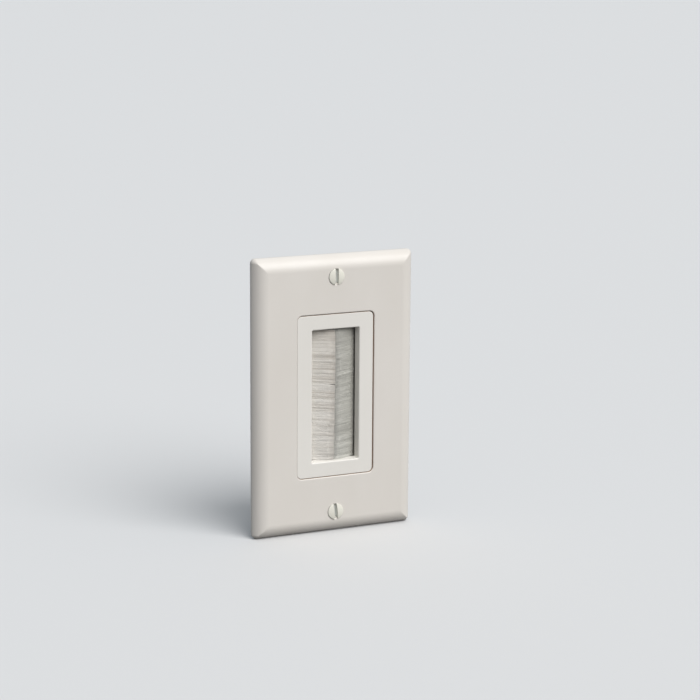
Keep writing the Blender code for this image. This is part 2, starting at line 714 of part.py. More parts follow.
def make_box_screw(name, z):
    """Low dome head screw that holds the ear to the box or bracket in the wall."""
    edge = BOX_HEAD_DIAMETER / 2
    shank = SCREW_DIAMETER / 2
    seat_y = EAR_FRONT_Y - TOUCH_GAP
    head = dome(edge, BOX_HEAD_HEIGHT, seat_y, -1)
    end = shank_end(shank, seat_y + BOX_SCREW_LENGTH)
    profile = head[::-1] + [(edge, seat_y), (shank, seat_y)] + end
    screw = turned(name, profile, TURN_STEPS, zinc_steel())
    screw.location.z = z
    top_y = seat_y - BOX_HEAD_HEIGHT
    blade = slot_cutter(f"{name}_slot", top_y, BOX_SLOT_DEPTH, BOX_HEAD_DIAMETER, pi / 2, z)
    combine(screw, blade, "DIFFERENCE")
    return screw


def make_clamp_screw(name, x, z):
    """Small pan head screw driven from behind, through the clamp into the insert."""
    edge = CLAMP_HEAD_DIAMETER / 2
    shank = CLAMP_SCREW_DIAMETER / 2
    seat_y = CLAMP_REAR_Y + TOUCH_GAP
    tip_y = seat_y - CLAMP_SCREW_LENGTH
    head = dome(edge, CLAMP_HEAD_HEIGHT, seat_y, 1)
    end = [(0, tip_y), (shank - END_CHAMFER, tip_y), (shank, tip_y + END_CHAMFER)]
    profile = end + [(shank, seat_y), (edge, seat_y)] + head
    screw = turned(name, profile, SMALL_TURN_STEPS, zinc_steel())
    screw.location = (x, 0, z)
    top_y = seat_y + CLAMP_HEAD_HEIGHT
    for across, along in ((CROSS_LENGTH / 2, CROSS_WIDTH / 2), (CROSS_WIDTH / 2, CROSS_LENGTH / 2)):
        low = (-across, top_y - CROSS_DEPTH, -along)
        high = (across, top_y + CUT_PAST, along)
        blade = box(f"{name}_cross", low, high)
        blade.location = (x, 0, z)
        combine(screw, blade, "DIFFERENCE")
    return screw


def make_retainer(name, z):
    """Thin square washer behind the ear that keeps the box screw from falling out."""
    front = TOUCH_GAP
    rear = front + RETAINER_THICKNESS
    washer = slab(
        name, RETAINER_SIZE, RETAINER_SIZE, RETAINER_CORNER, front, rear, (0.0, z), retainer_fibre()
    )
    bore = turned(f"{name}_bore", pin_profile(SCREW_HOLE), TURN_STEPS)
    bore.location.z = z
    combine(washer, bore, "DIFFERENCE")
    return washer


def build():
    clear_scene()
    make_cover_plate()
    make_brush_insert()
    for hand, side in (("left", -1), ("right", 1)):
        make_channel(f"{hand}_brush_channel", side)
        make_core_wire(f"{hand}_core_wire", side)
        make_bristles(f"{hand}_bristles", side)
    make_rear_clamp()
    for name, x, z in clamp_screw_places():
        make_clamp_screw(f"{name}_clamp_screw", x, z)
    make_plate_screw("upper_plate_screw", PLATE_SCREW_SPACING / 2, UPPER_SLOT_TURN)
    make_plate_screw("lower_plate_screw", -PLATE_SCREW_SPACING / 2, LOWER_SLOT_TURN)
    for height, side in (("upper", 1), ("lower", -1)):
        make_box_screw(f"{height}_box_screw", side * BOX_SCREW_SPACING / 2)
        make_retainer(f"{height}_screw_retainer", side * BOX_SCREW_SPACING / 2)


build()
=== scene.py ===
# %% [markdown]
# # A brush wall plate
#
# This plate covers an opening in a wall where cables come through. A flat moulded plate frames a
# separate insert, and the insert's tall window is closed by two strip brushes that face each other.
# A cable pushes its way between the filaments, and they close round it again.
#
# The sizes and the fit of every piece are settled already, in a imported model. This script loads it as
# a fixed frame and gives each piece its finished surface: smooth mouldings, thousands of separate
# filaments, real threads on the screws, and a material for each finish.
#
# Three rules hold all through. Places are in metres, with the wall at y = 0, the front towards -y and
# z up. Shapes are worked out as whole numpy arrays. And each material reads the object's own
# coordinates, so a pattern stays where it is when the camera moves.

import bpy
import numpy as np
from mathutils import Matrix, Vector


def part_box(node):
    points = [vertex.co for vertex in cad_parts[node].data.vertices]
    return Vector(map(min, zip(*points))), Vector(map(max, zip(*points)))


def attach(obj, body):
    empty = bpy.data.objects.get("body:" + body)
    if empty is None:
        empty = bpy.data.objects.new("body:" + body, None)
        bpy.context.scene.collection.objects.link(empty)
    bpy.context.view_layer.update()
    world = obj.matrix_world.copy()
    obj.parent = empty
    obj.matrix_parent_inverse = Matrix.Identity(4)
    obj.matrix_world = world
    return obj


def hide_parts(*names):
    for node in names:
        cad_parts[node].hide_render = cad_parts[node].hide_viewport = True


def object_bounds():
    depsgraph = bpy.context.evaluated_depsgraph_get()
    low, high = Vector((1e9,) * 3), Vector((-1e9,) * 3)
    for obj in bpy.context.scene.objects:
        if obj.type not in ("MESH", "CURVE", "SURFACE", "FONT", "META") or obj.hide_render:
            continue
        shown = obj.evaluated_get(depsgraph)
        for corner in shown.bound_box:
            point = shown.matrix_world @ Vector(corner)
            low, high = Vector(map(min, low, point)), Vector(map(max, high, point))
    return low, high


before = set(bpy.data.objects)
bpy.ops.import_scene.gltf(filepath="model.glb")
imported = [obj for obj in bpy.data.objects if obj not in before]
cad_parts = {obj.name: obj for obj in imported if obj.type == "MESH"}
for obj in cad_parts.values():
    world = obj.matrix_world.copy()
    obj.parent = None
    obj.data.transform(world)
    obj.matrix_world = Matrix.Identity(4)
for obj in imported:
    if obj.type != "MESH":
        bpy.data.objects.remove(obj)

MM = 0.001
cad_low, cad_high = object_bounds()
print("CAD box in mm:", [round(v / MM, 2) for v in cad_high - cad_low])

# %% [markdown]
# ## The camera
#
# A photograph fixes where its camera stood: the edges of a plate of known size meet the picture's
# corners at one place only. The camera stands 0.86 m away, to the left of the plate and a little above
# it, and is rolled by 0.4 degrees. A long lens gives the same mild perspective.
#
# The camera's own axes are worked out from the direction it looks in: back points from the target to
# the camera, right is level before the roll, and up stands square to both.

# %% Place the camera
CAMERA_LEFT = np.radians(24.7406)      # to the left of the plate's normal
CAMERA_ABOVE = np.radians(11.9767)
CAMERA_ROLL = np.radians(0.3843)
CAMERA_DISTANCE = 859.86 * MM
CAMERA_TARGET = np.array([8.697, 0.0, 16.872]) * MM
CLIP_START = 10 * MM
SENSOR_WIDTH = 36.0
FOCAL_SHARE = 2125.05 / 700            # focal length as a share of the picture's width


def in_scene(name, data):
    """A new object with this data, linked into the scene."""
    made = bpy.data.objects.new(name, data)
    bpy.context.scene.collection.objects.link(made)
    return made


def camera_matrix():
    """Axes from two angles: back = (-sin a cos e, -cos a cos e, sin e), then a roll about back."""
    back = np.array([
        -np.sin(CAMERA_LEFT) * np.cos(CAMERA_ABOVE),
        -np.cos(CAMERA_LEFT) * np.cos(CAMERA_ABOVE),
        np.sin(CAMERA_ABOVE),
    ])
    right = np.cross([0.0, 0.0, 1.0], back)
    right /= np.linalg.norm(right)
    up = np.cross(back, right)
    rolled_right = right * np.cos(CAMERA_ROLL) + up * np.sin(CAMERA_ROLL)
    rolled_up = up * np.cos(CAMERA_ROLL) - right * np.sin(CAMERA_ROLL)
    place = CAMERA_TARGET + CAMERA_DISTANCE * back
    rows = [[rolled_right[i], rolled_up[i], back[i], place[i]] for i in range(3)]
    return Matrix(rows + [[0, 0, 0, 1]])


camera_data = bpy.data.cameras.new("camera")
camera_data.sensor_width = SENSOR_WIDTH
camera_data.lens = FOCAL_SHARE * SENSOR_WIDTH
camera_data.clip_start = CLIP_START
camera = in_scene("camera", camera_data)
camera.matrix_world = camera_matrix()
bpy.context.scene.camera = camera
bpy.context.scene.view_settings.view_transform = "Standard"
print("camera at", [round(v, 3) for v in camera.matrix_world.translation], "with a lens of",
      round(camera_data.lens, 1), "mm")

# %% [markdown]
# ## Shader nodes
#
# Light and finishes are made of shader nodes. Each node is made, gets its options, and each of its
# inputs gets a number, a colour or a link from another node. In the Shader Editor that is done by hand.
# In a script each step would take a line of its own, so a few helpers take the steps, and the lines that
# call them show what feeds what.

# %% Make and feed nodes


def feed(tree, made, inputs):
    """Links each named input to a socket, or sets it to a number or a (red, green, blue) colour."""
    for place, value in inputs.items():
        socket = made.inputs[place]
        if isinstance(value, bpy.types.NodeSocket):
            tree.links.new(value, socket)
        elif socket.type == "RGBA":
            socket.default_value = (*value, 1.0)
        else:
            socket.default_value = value
    return made


def add_node(tree, kind, inputs=None, **options):
    """A new shader node with its options set and its inputs fed."""
    made = tree.nodes.new("ShaderNode" + kind)
    for option, value in options.items():
        setattr(made, option, value)
    return feed(tree, made, inputs or {})


def arithmetic(tree, operation, first, second=0.0):
    """One step of arithmetic between sockets or numbers."""
    return add_node(tree, "Math", {0: first, 1: second}, operation=operation).outputs[0]


def number_range(tree, value, low, high, start=0.3, stop=0.7):
    """A straight line from low to high while the value goes from start to stop."""
    inputs = {"Value": value, "From Min": start, "From Max": stop, "To Min": low, "To Max": high}
    return add_node(tree, "MapRange", inputs).outputs["Result"]


def tinted(tree, amount, first, second, mode="MIX"):
    """Two colours mixed by an amount that may change from place to place."""
    inputs = {"Factor": amount, "A": first, "B": second}
    return add_node(tree, "Mix", inputs, data_type="RGBA", blend_type=mode).outputs["Result"]


def axes(tree, where):
    """The x, y and z of a direction or a place as separate numbers."""
    return add_node(tree, "SeparateXYZ", {"Vector": where}).outputs


# %% [markdown]
# ## Light and floor
#
# Pale plastic shows its form only through soft changes of tone, so the light has a direction. One
# broad sun stands high in front and a little to the right. It has no falloff, so the floor stays
# even as far as the eye goes. The room around gives the rest. It is brighter on the right, which
# leaves the left bevel in shade, and a little cooler behind the plate.
#
# The floor is pale to the eye and in reflections, and greyer for the light that it throws back up,
# which keeps the lower bevel dark. Light Path tells the material which kind of ray has hit it.

# %% Sun and room
SUN_RIGHT = np.radians(15)
SUN_ABOVE = np.radians(46)
SUN_STRENGTH = 2.73
SUN_SPREAD = np.radians(50)
ROOM_LEFT = (0.20, 0.21, 0.225)
ROOM_RIGHT = (0.70, 0.70, 0.69)
ROOM_COOL = (0.80, 0.98, 1.16)     # tint of the light that comes from behind the plate
ROOM_SEEN = (0.80, 0.80, 0.80)

sun_data = bpy.data.lights.new("broad_sun", "SUN")
sun_data.energy = SUN_STRENGTH
sun_data.angle = SUN_SPREAD
towards_sun = Vector((
    np.sin(SUN_RIGHT) * np.cos(SUN_ABOVE), -np.cos(SUN_RIGHT) * np.cos(SUN_ABOVE), np.sin(SUN_ABOVE)
))
sun = in_scene("broad_sun", sun_data)
sun.rotation_euler = (-towards_sun).to_track_quat("-Z", "Y").to_euler()


def lit_room():
    """Light that grows with the x of its direction and cools with its y. The eye sees an even grey."""
    world = bpy.data.worlds.new("soft_room")
    world.use_nodes = True
    tree = world.node_tree
    tree.nodes.clear()
    direction = axes(tree, add_node(tree, "TexCoord").outputs["Generated"])
    from_left = number_range(tree, direction["X"], 0.0, 1.0, -1.0, 1.0)
    shade = tinted(tree, from_left, ROOM_LEFT, ROOM_RIGHT)
    cooled = tinted(tree, direction["Y"], shade, ROOM_COOL, "MULTIPLY")
    light = add_node(tree, "Background", {"Color": cooled}).outputs[0]
    seen = add_node(tree, "Background", {"Color": ROOM_SEEN}).outputs[0]
    by_eye = add_node(tree, "LightPath").outputs["Is Camera Ray"]
    choice = add_node(tree, "MixShader", {"Fac": by_eye, 1: light, 2: seen}).outputs[0]
    add_node(tree, "OutputWorld", {"Surface": choice})
    return world


bpy.context.scene.world = lit_room()
print("towards the sun:", [round(v, 3) for v in towards_sun])

# %% Floor
FLOOR_Z = cad_low.z - 0.05 * MM
FLOOR_HALF = 12.0
FLOOR_PALE = (0.68, 0.68, 0.68)
FLOOR_GREY = (0.14, 0.14, 0.14)
FLOOR_ROUGHNESS = 0.9


def eye_or_mirror(tree):
    """1 for a ray that the eye follows, straight, in a reflection or through glass, and 0 for light."""
    rays = add_node(tree, "LightPath").outputs
    mirrored = arithmetic(tree, "MAXIMUM", rays["Is Camera Ray"], rays["Is Glossy Ray"])
    return arithmetic(tree, "MAXIMUM", mirrored, rays["Is Transmission Ray"])


floor_mesh = bpy.data.meshes.new("floor")
corners = np.array([[-1, -1, 0], [1, -1, 0], [1, 1, 0], [-1, 1, 0]]) * FLOOR_HALF + [0, 0, FLOOR_Z]
floor_mesh.from_pydata(corners.tolist(), [], [(0, 1, 2, 3)])
floor = in_scene("floor", floor_mesh)

floor_finish = bpy.data.materials.new("floor_finish")
floor_finish.use_nodes = True
tree = floor_finish.node_tree
floor_colour = tinted(tree, eye_or_mirror(tree), FLOOR_GREY, FLOOR_PALE)
feed(tree, tree.nodes["Principled BSDF"], {"Base Color": floor_colour, "Roughness": FLOOR_ROUGHNESS})
floor_mesh.materials.append(floor_finish)
print("floor at z =", round(FLOOR_Z / MM, 2), "mm")

# %% [markdown]
# ## Tools for finishes
#
# A real surface is never one colour. Even new plastic has faint flow marks, a fine skin from the
# mould and a gloss that changes from place to place. Each finish below is a Principled shader whose
# colour, roughness and bump come from noise at the size that the real grain has.
#
# The helpers start a material, add a noise that reads the object's coordinates, turn it into a range of
# colours or numbers, press it into the surface as bump, and feed the shader at the end.

# %% Helpers for finishes


def start_finish(name):
    """A new material, its tree, and the object's coordinates."""
    made = bpy.data.materials.new(name)
    made.use_nodes = True
    return made, made.node_tree, add_node(made.node_tree, "TexCoord").outputs["Object"]


def complete(tree, colour, roughness, normal, metal=0.0, ior=1.5):
    """Colour, roughness and bump go into the finish's Principled shader."""
    shader = tree.nodes["Principled BSDF"]
    feed(tree, shader, {"Base Color": colour, "Roughness": roughness, "Normal": normal})
    feed(tree, shader, {"Metallic": metal, "IOR": ior})


def stretched(tree, where, scale):
    """The coordinates drawn out or squeezed along each axis, so that a grain gets a direction."""
    return add_node(tree, "Mapping", {"Vector": where, "Scale": scale}).outputs["Vector"]


def noise(tree, where, size, detail=3.0, roughness=0.5):
    """Noise whose spots are about this big, in metres."""
    inputs = {"Vector": where, "Scale": 1.0 / size, "Detail": detail, "Roughness": roughness}
    return add_node(tree, "TexNoise", inputs).outputs["Fac"]


def colour_range(tree, value, stops):
    """Colours along a value, each stop (place, (red, green, blue))."""
    made = add_node(tree, "ValToRGB", {"Fac": value})
    ramp = made.color_ramp
    while len(ramp.elements) < len(stops):
        ramp.elements.new(0.5)
    for element, (place, colour) in zip(ramp.elements, stops):
        element.position = place
        element.color = (*colour, 1.0)
    return made.outputs["Color"]


def pressed(tree, height, depth, before=None):
    """Bump of this depth, in metres, on top of another bump if there is one."""
    inputs = {"Height": height, "Distance": depth}
    if before is not None:
        inputs["Normal"] = before
    return add_node(tree, "Bump", inputs).outputs["Normal"]


# %% [markdown]
# ## Moulded plastic
#
# The plate and the insert are warm off-white plastic with a satin skin. The plate is a little warmer
# and glossier. Close up, such a skin has very shallow waves a millimetre or two across, which soften
# each reflection, and under them a fine grain left by the mould. The colour drifts by a few
# hundredths where the plastic flowed, and the walls of the seam round the insert are painted brown, as
# painted shade.
#
# One function makes the three plastics, and only their numbers differ. The painted shade is found by its
# place: a band on both sides of the seam's middle line, and deeper than the two faces. The seam's left
# side is left out of it.

# %% Plastic finishes
SEAM_HALF = {"X": 16.75 * MM, "Z": 33.45 * MM}    # middle of the seam between the insert and the plate
SEAM_BAND = 0.6 * MM
# Brown painted into the walls of the seam round the insert, as painted shade. Its left side is left out.
SEAM_SHADE_BROWN = (0.60, 0.45, 0.34)
SEAM_SHADE_COVER = 0.9
SOFT_EDGE = 0.05 * MM
SEAM_SHADE_STARTS = (0.2 * MM, 0.4 * MM)     # behind the face: no painted shade yet, full painted shade
SEAM_SHADE_STOPS = (2.5 * MM, 3.0 * MM)      # full painted shade still, none any more
LEFT_SEAM_UNSHADED = (0.1 * MM, 0.6 * MM)      # right of the left seam's middle: unshaded still, painted shade again
PLASTIC_IOR = 1.49
plate_low, plate_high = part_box("cover_plate")
FACE_Y = plate_low.y


def seam_painted_shade(tree, where):
    """Painted shade, 0.9 deep in the seam: near the larger of |x| - 16.75 and |z| - 33.45 mm, just behind
    the face.
    """
    place = axes(tree, where)
    out = [arithmetic(tree, "SUBTRACT", arithmetic(tree, "ABSOLUTE", place[axis]), half)
           for axis, half in SEAM_HALF.items()]
    away = arithmetic(tree, "ABSOLUTE", arithmetic(tree, "MAXIMUM", *out))
    near = number_range(tree, away, 1.0, 0.0, SEAM_BAND, SEAM_BAND + SOFT_EDGE)
    starts, stops = FACE_Y + np.array(SEAM_SHADE_STARTS), FACE_Y + np.array(SEAM_SHADE_STOPS)
    deep = number_range(tree, place["Y"], 0.0, SEAM_SHADE_COVER, *starts)
    shallow = number_range(tree, place["Y"], 1.0, 0.0, *stops)
    shaded_side = number_range(tree, place["X"], 0.0, 1.0, *(np.array(LEFT_SEAM_UNSHADED) - SEAM_HALF["X"]))
    near_and_deep = arithmetic(tree, "MULTIPLY", near, deep)
    return arithmetic(tree, "MULTIPLY", near_and_deep, arithmetic(tree, "MULTIPLY", shallow, shaded_side))


def moulded_plastic(name, light, dark, gloss_from, gloss_to, grain_depth):
    """Colour between two near tones with painted shade in the seam, roughness in a band, long shallow
    waves and a fine grain.
    """
    made, tree, where = start_finish(name)
    flow = noise(tree, stretched(tree, where, (1.0, 1.0, 0.45)), 18 * MM, detail=2.0)
    cloud = noise(tree, where, 2.6 * MM, detail=4.0, roughness=0.6)
    drift = colour_range(tree, flow, [(0.30, dark), (0.70, light)])
    unshaded_colour = tinted(tree, number_range(tree, cloud, 0.0, 0.10), drift, dark)
    # painted shade: brown in the walls of the seam
    colour = tinted(tree, seam_painted_shade(tree, where), unshaded_colour, SEAM_SHADE_BROWN)
    waves = pressed(tree, noise(tree, where, 1.5 * MM, detail=1.0), 0.004 * MM)
    grain = pressed(tree, noise(tree, where, 0.16 * MM, detail=2.0), grain_depth, waves)
    complete(tree, colour, number_range(tree, cloud, gloss_from, gloss_to), grain, ior=PLASTIC_IOR)
    return made


plate_plastic = moulded_plastic(
    "plate_plastic", (0.735, 0.698, 0.652), (0.711, 0.672, 0.622), 0.33, 0.40, 0.0022 * MM
)
insert_plastic = moulded_plastic(
    "insert_plastic", (0.788, 0.763, 0.718), (0.765, 0.738, 0.691), 0.34, 0.41, 0.0030 * MM
)
clamp_plastic = moulded_plastic(
    "clamp_plastic", (0.700, 0.682, 0.634), (0.665, 0.645, 0.595), 0.44, 0.54, 0.0060 * MM
)
print("the plate's face lies at y =", round(FACE_Y / MM, 2), "mm")

# %% [markdown]
# ## Metals, enamel and fibre
#
# Four hard finishes are left. Zinc plating on the screws is bluish grey, with a faint straw and violet
# cast where the passive layer gets thicker. Galvanised strip shows the flat crystals of its zinc, so
# it takes cells of slightly different grey. Drawn wire is streaked along its length. The plate's
# screws are enamelled cream: a smooth coat with tiny waves that lets the steel through at the thinnest
# spots. From just in front of the plate's face back, over the heads' edge and in their slots, the colour
# is greyer all over.
#
# The retainers are punched from hard pressed fibre. Their fibres lie flat, so the noise is drawn out
# in one direction and crossed by a second one.

# %% Metal finishes


def zinc_plate():
    """Grey metal with a bluish to straw cast, and fine turning marks round the screw's axis."""
    made, tree, where = start_finish("zinc_steel")
    tones = [(0.30, (0.50, 0.53, 0.60)), (0.50, (0.60, 0.61, 0.62)), (0.70, (0.66, 0.63, 0.55))]
    cast = colour_range(tree, noise(tree, where, 1.9 * MM), tones)
    marks = noise(tree, stretched(tree, where, (1.0, 14.0, 1.0)), 1.2 * MM, detail=5.0)
    gloss = number_range(tree, marks, 0.22, 0.42)
    complete(tree, cast, gloss, pressed(tree, marks, 0.004 * MM), metal=1.0)
    return made


def galvanised():
    """Grey cells of crystal, each with its own tone and gloss, under a fine frost."""
    made, tree, where = start_finish("galvanised_strip")
    cells = add_node(tree, "TexVoronoi", {"Vector": where, "Scale": 1.0 / (2.2 * MM)})
    tone = add_node(tree, "SeparateColor", {"Color": cells.outputs["Color"]}).outputs["Red"]
    colour = colour_range(tree, tone, [(0.0, (0.44, 0.45, 0.46)), (1.0, (0.60, 0.61, 0.60))])
    gloss = number_range(tree, tone, 0.28, 0.50, 0.0, 1.0)
    frost = noise(tree, where, 0.3 * MM, detail=4.0)
    complete(tree, colour, gloss, pressed(tree, frost, 0.006 * MM), metal=1.0)
    return made


def drawn_wire():
    """Long streaks along z from the die, in colour, gloss and bump."""
    made, tree, where = start_finish("steel_wire")
    streaks = noise(tree, stretched(tree, where, (1.0, 1.0, 0.02)), 0.12 * MM)
    colour = colour_range(tree, streaks, [(0.30, (0.36, 0.36, 0.37)), (0.70, (0.52, 0.52, 0.53))])
    gloss = number_range(tree, streaks, 0.26, 0.44)
    complete(tree, colour, gloss, pressed(tree, streaks, 0.008 * MM), metal=1.0)
    return made


zinc_steel = zinc_plate()
galvanised_strip = galvanised()
steel_wire = drawn_wire()
print("metal finishes: zinc plate, galvanised strip and drawn wire")

# %% Enamel and fibre finishes
GREY_BACK_COLOUR = (0.735, 0.75, 0.72)
GREY_BACK_FROM = FACE_Y - 0.4 * MM     # the colour gets greyer from here back to the plate's face


def cream_enamel():
    """A cream coat with tiny waves, greyer in thin spots and from just in front of the plate's face back.
    """
    made, tree, where = start_finish("screw_enamel")
    thin = noise(tree, where, 0.55 * MM, detail=4.0, roughness=0.65)
    tones = [(0.22, (0.61, 0.59, 0.52)), (0.36, (0.775, 0.755, 0.67)), (0.75, (0.80, 0.78, 0.70))]
    below = number_range(tree, axes(tree, where)["Y"], 0.0, 0.9, GREY_BACK_FROM, FACE_Y)
    coat = tinted(tree, below, colour_range(tree, thin, tones), GREY_BACK_COLOUR)
    waves = pressed(tree, noise(tree, where, 0.5 * MM, detail=2.0), 0.012 * MM)
    complete(tree, coat, number_range(tree, thin, 0.38, 0.26), waves)
    return made


def pressed_fibre():
    """Brown board: two crossed noises of drawn-out fibres, matt and slightly rough."""
    made, tree, where = start_finish("retainer_fibre")
    along = noise(tree, stretched(tree, where, (0.12, 1.0, 1.0)), 0.25 * MM, detail=4.0)
    across = noise(tree, stretched(tree, where, (1.0, 1.0, 0.15)), 0.30 * MM, detail=4.0)
    lengthways = colour_range(tree, along, [(0.30, (0.30, 0.20, 0.12)), (0.70, (0.50, 0.37, 0.25))])
    crossways = colour_range(tree, across, [(0.35, (0.34, 0.24, 0.15)), (0.70, (0.47, 0.35, 0.24))])
    ridges = pressed(tree, across, 0.03 * MM, pressed(tree, along, 0.03 * MM))
    colour = tinted(tree, 0.5, lengthways, crossways)
    complete(tree, colour, number_range(tree, across, 0.70, 0.90), ridges)
    return made


screw_enamel = cream_enamel()
retainer_fibre = pressed_fibre()
print("enamel for the plate's screws, fibre for the retainers")

# %% [markdown]
# ## Nylon filaments
#
# Each filament is a thin nylon bristle, pale grey-beige. No two match: each takes the light a little
# differently, and tufts differ from their neighbours. Along its length the colour is darkened, as painted
# shade for the light that is lost between a filament and its neighbours, and its cut end is painted
# paler, as painted light. That can't be a noise on coordinates, because the tone has to stay on its own
# filament.
#
# So the mesh carries two numbers at each point. The attribute tone is one value for a whole filament,
# and along runs from 0 at the root to 1 at the tip. The material turns them into colour. The two brushes
# are the same nylon, but the left one is painted paler, as painted light, and the right one darker, as
# painted shade, so each brush has its own numbers.

# %% Filament finish
# Painted light: the cut ends are painted paler.
END_PAINTED_LIGHT = (0.88, 0.86, 0.81)
END_FROM = 0.76                   # share of the length at which the painted light of the end starts


def filament_finish(name, dark, middle, light, fade, pale):
    """Middle tone at the root, its own further on, painted shade towards the tip by fade, and painted
    light at the end by pale.
    """
    made, tree, where = start_finish(name)
    tone, along = [add_node(tree, "Attribute", attribute_name=label).outputs["Fac"]
                   for label in ("tone", "along")]
    own = colour_range(tree, tone, [(0.0, dark), (0.5, middle), (1.0, light)])
    apart = tinted(tree, number_range(tree, along, 0.45, 1.0, 0.1, 0.8), middle, own)
    # painted shade along the length, then painted light at the cut end
    shaded = tinted(tree, number_range(tree, along, 0.0, fade, 0.0, 1.0), apart, dark)
    colour = tinted(tree, number_range(tree, along, 0.0, pale, END_FROM, 1.0), shaded, END_PAINTED_LIGHT)
    grain = pressed(tree, noise(tree, where, 0.25 * MM, detail=2.0), 0.01 * MM)
    complete(tree, colour, number_range(tree, tone, 0.52, 0.38, 0.0, 1.0), grain)
    return made


# Both brushes are the same nylon. The left one's colours are raised, as painted light, and the right
# one's lowered, as painted shade.
left_filament_painted_light = filament_finish(
    "left_nylon_painted_light", (0.52, 0.475, 0.42), (0.97, 0.94, 0.885), (0.98, 0.96, 0.92), 0.6, 0.1
)
right_filament_painted_shade = filament_finish(
    "right_nylon_painted_shade", (0.40, 0.39, 0.355), (0.51, 0.50, 0.455), (0.70, 0.69, 0.635), 0.1, 0.35
)
print("filaments:", left_filament_painted_light.name, right_filament_painted_shade.name)

# %% [markdown]
# ## Grids into meshes
#
# Nearly every hard piece here is a profile carried round a path: a rounded rectangle for the
# mouldings, a circle for the screws. Both give a grid of points, one row for each point of the
# profile. A grid becomes a mesh by joining each point to its neighbours in both directions.
#
# The faces are worked out with whole arrays of point numbers. A grid can close on itself in one or both
# directions, and an open end can be closed by one flat face.

# %% Turn a grid of points into a mesh


def grid_faces(rows, columns, close_rows):
    """Four point numbers for each face: (r, c), (r, c+1), (r+1, c+1), (r+1, c), columns wrapping."""
    last = rows if close_rows else rows - 1
    row, column = np.meshgrid(np.arange(last), np.arange(columns), indexing="ij")
    row_after = (row + 1) % rows
    column_after = (column + 1) % columns
    here = row * columns + column
    beside = row * columns + column_after
    across = row_after * columns + column_after
    below = row_after * columns + column
    return np.stack([here, beside, across, below], axis=-1).reshape(-1, 4)


def mesh_from(name, points, faces, caps):
    """Fills a mesh from arrays: quads first, then each cap as one face of many corners."""
    mesh = bpy.data.meshes.new(name)
    mesh.from_pydata(points.reshape(-1, 3).tolist(), [], faces.tolist() + [list(cap) for cap in caps])
    mesh.validate()
    return in_scene(name, mesh)


def facing_out(made):
    """Turns a closed shell so that its faces point outwards: its signed volume has to be positive."""
    mesh = made.data
    mesh.calc_loop_triangles()
    corners = np.empty(len(mesh.loop_triangles) * 3, np.int32)
    mesh.loop_triangles.foreach_get("vertices", corners)
    spots = np.empty(len(mesh.vertices) * 3)
    mesh.vertices.foreach_get("co", spots)
    a, b, c = spots.reshape(-1, 3)[corners.reshape(-1, 3)].transpose(1, 0, 2)
    volume = np.einsum("ij,ij->i", a, np.cross(b, c)).sum() / 6
    if volume < 0:
        mesh.flip_normals()
    return made


def loft(name, points, ring=False):
    """A grid of loops, shape (rows, columns, 3): a ring of loops, or a solid with two flat ends."""
    rows, columns = points.shape[:2]
    caps = []
    if not ring:
        caps = [range(columns)[::-1], range((rows - 1) * columns, rows * columns)]
    return facing_out(mesh_from(name, points, grid_faces(rows, columns, ring), caps))


# %% [markdown]
# ## Profiles and paths
#
# Two paths are enough. The first is a rounded rectangle in the x z plane. The second is a circle, for
# whatever was turned. A rounded edge in a profile is a quarter of a circle, so one function gives its
# points from the two directions that it joins.

# %% Paths
CORNER_STEPS = 14


def rounded_loop(width, height, corner):
    """Four quarter circles of this radius, centred in from the corners. The straights join them."""
    quarter = np.linspace(0, np.pi / 2, CORNER_STEPS)
    angle = (np.arange(4)[:, None] - 1) * np.pi / 2 + quarter
    side_x = np.array([1, 1, -1, -1])[:, None]
    side_z = np.array([-1, 1, 1, -1])[:, None]
    x = side_x * (width / 2 - corner) + corner * np.cos(angle)
    z = side_z * (height / 2 - corner) + corner * np.sin(angle)
    return np.stack([x.ravel(), z.ravel()], axis=-1)


def carried_round(sections, centre=(0.0, 0.0)):
    """One loop for each section (width, height, corner radius, y), placed round a centre (x, z)."""
    loops = np.stack([rounded_loop(width, height, corner) for width, height, corner, _ in sections])
    depth = np.array([section[3] for section in sections])[:, None]
    x = loops[..., 0] + centre[0]
    z = loops[..., 1] + centre[1]
    return np.stack([x, np.broadcast_to(depth, x.shape), z], axis=-1)


def turned(name, profile, steps=64, centre=(0.0, 0.0), twist=None):
    """A (radius, y) profile carried round the y axis. Twist may change the radius with angle and y."""
    profile = np.array(profile, float)
    angle = np.linspace(0, 2 * np.pi, steps, endpoint=False)
    radius = np.repeat(profile[:, :1], steps, axis=1)
    depth = np.repeat(profile[:, 1:], steps, axis=1)
    if twist is not None:
        radius = twist(radius, depth, angle)
    x = radius * np.cos(angle) + centre[0]
    z = radius * np.sin(angle) + centre[1]
    return loft(name, np.stack([x, depth, z], axis=-1))


def pin(name, radius, front, rear, centre, steps=64):
    """A straight round pin, for a hole."""
    return turned(name, [(radius, front), (radius, rear)], steps, centre)


# %% Rounded edges and slabs


def quarter_round(steps):
    """(sine, 1 - cosine) along a quarter circle, which lead from one direction into the next."""
    angle = np.linspace(0, np.pi / 2, steps + 1)
    return np.stack([np.sin(angle), 1 - np.cos(angle)], axis=-1)


def around(size, grow, y, smallest=0.0):
    """A loop this far outside a (width, height, corner) size, or inside it where grow is below 0."""
    width, height, corner = size
    return (width + 2 * grow, height + 2 * grow, max(corner + grow, smallest), y)


def edge_loops(size, grow, depth, y, steps=8):
    """Loops along a quarter circle that leads from (grow, y) to (0, y + depth)."""
    return [around(size, grow * (1 - out), y + depth * back) for out, back in quarter_round(steps)]


def soft_slab(name, size, front, rear, soft, centre=(0.0, 0.0)):
    """A rounded rectangle with thickness, its front and rear edges rounded by soft."""
    front_edge = edge_loops(size, -soft, soft, front, 4)
    rear_edge = edge_loops(size, -soft, -soft, rear, 4)[::-1]
    return loft(name, carried_round(front_edge + rear_edge, centre))


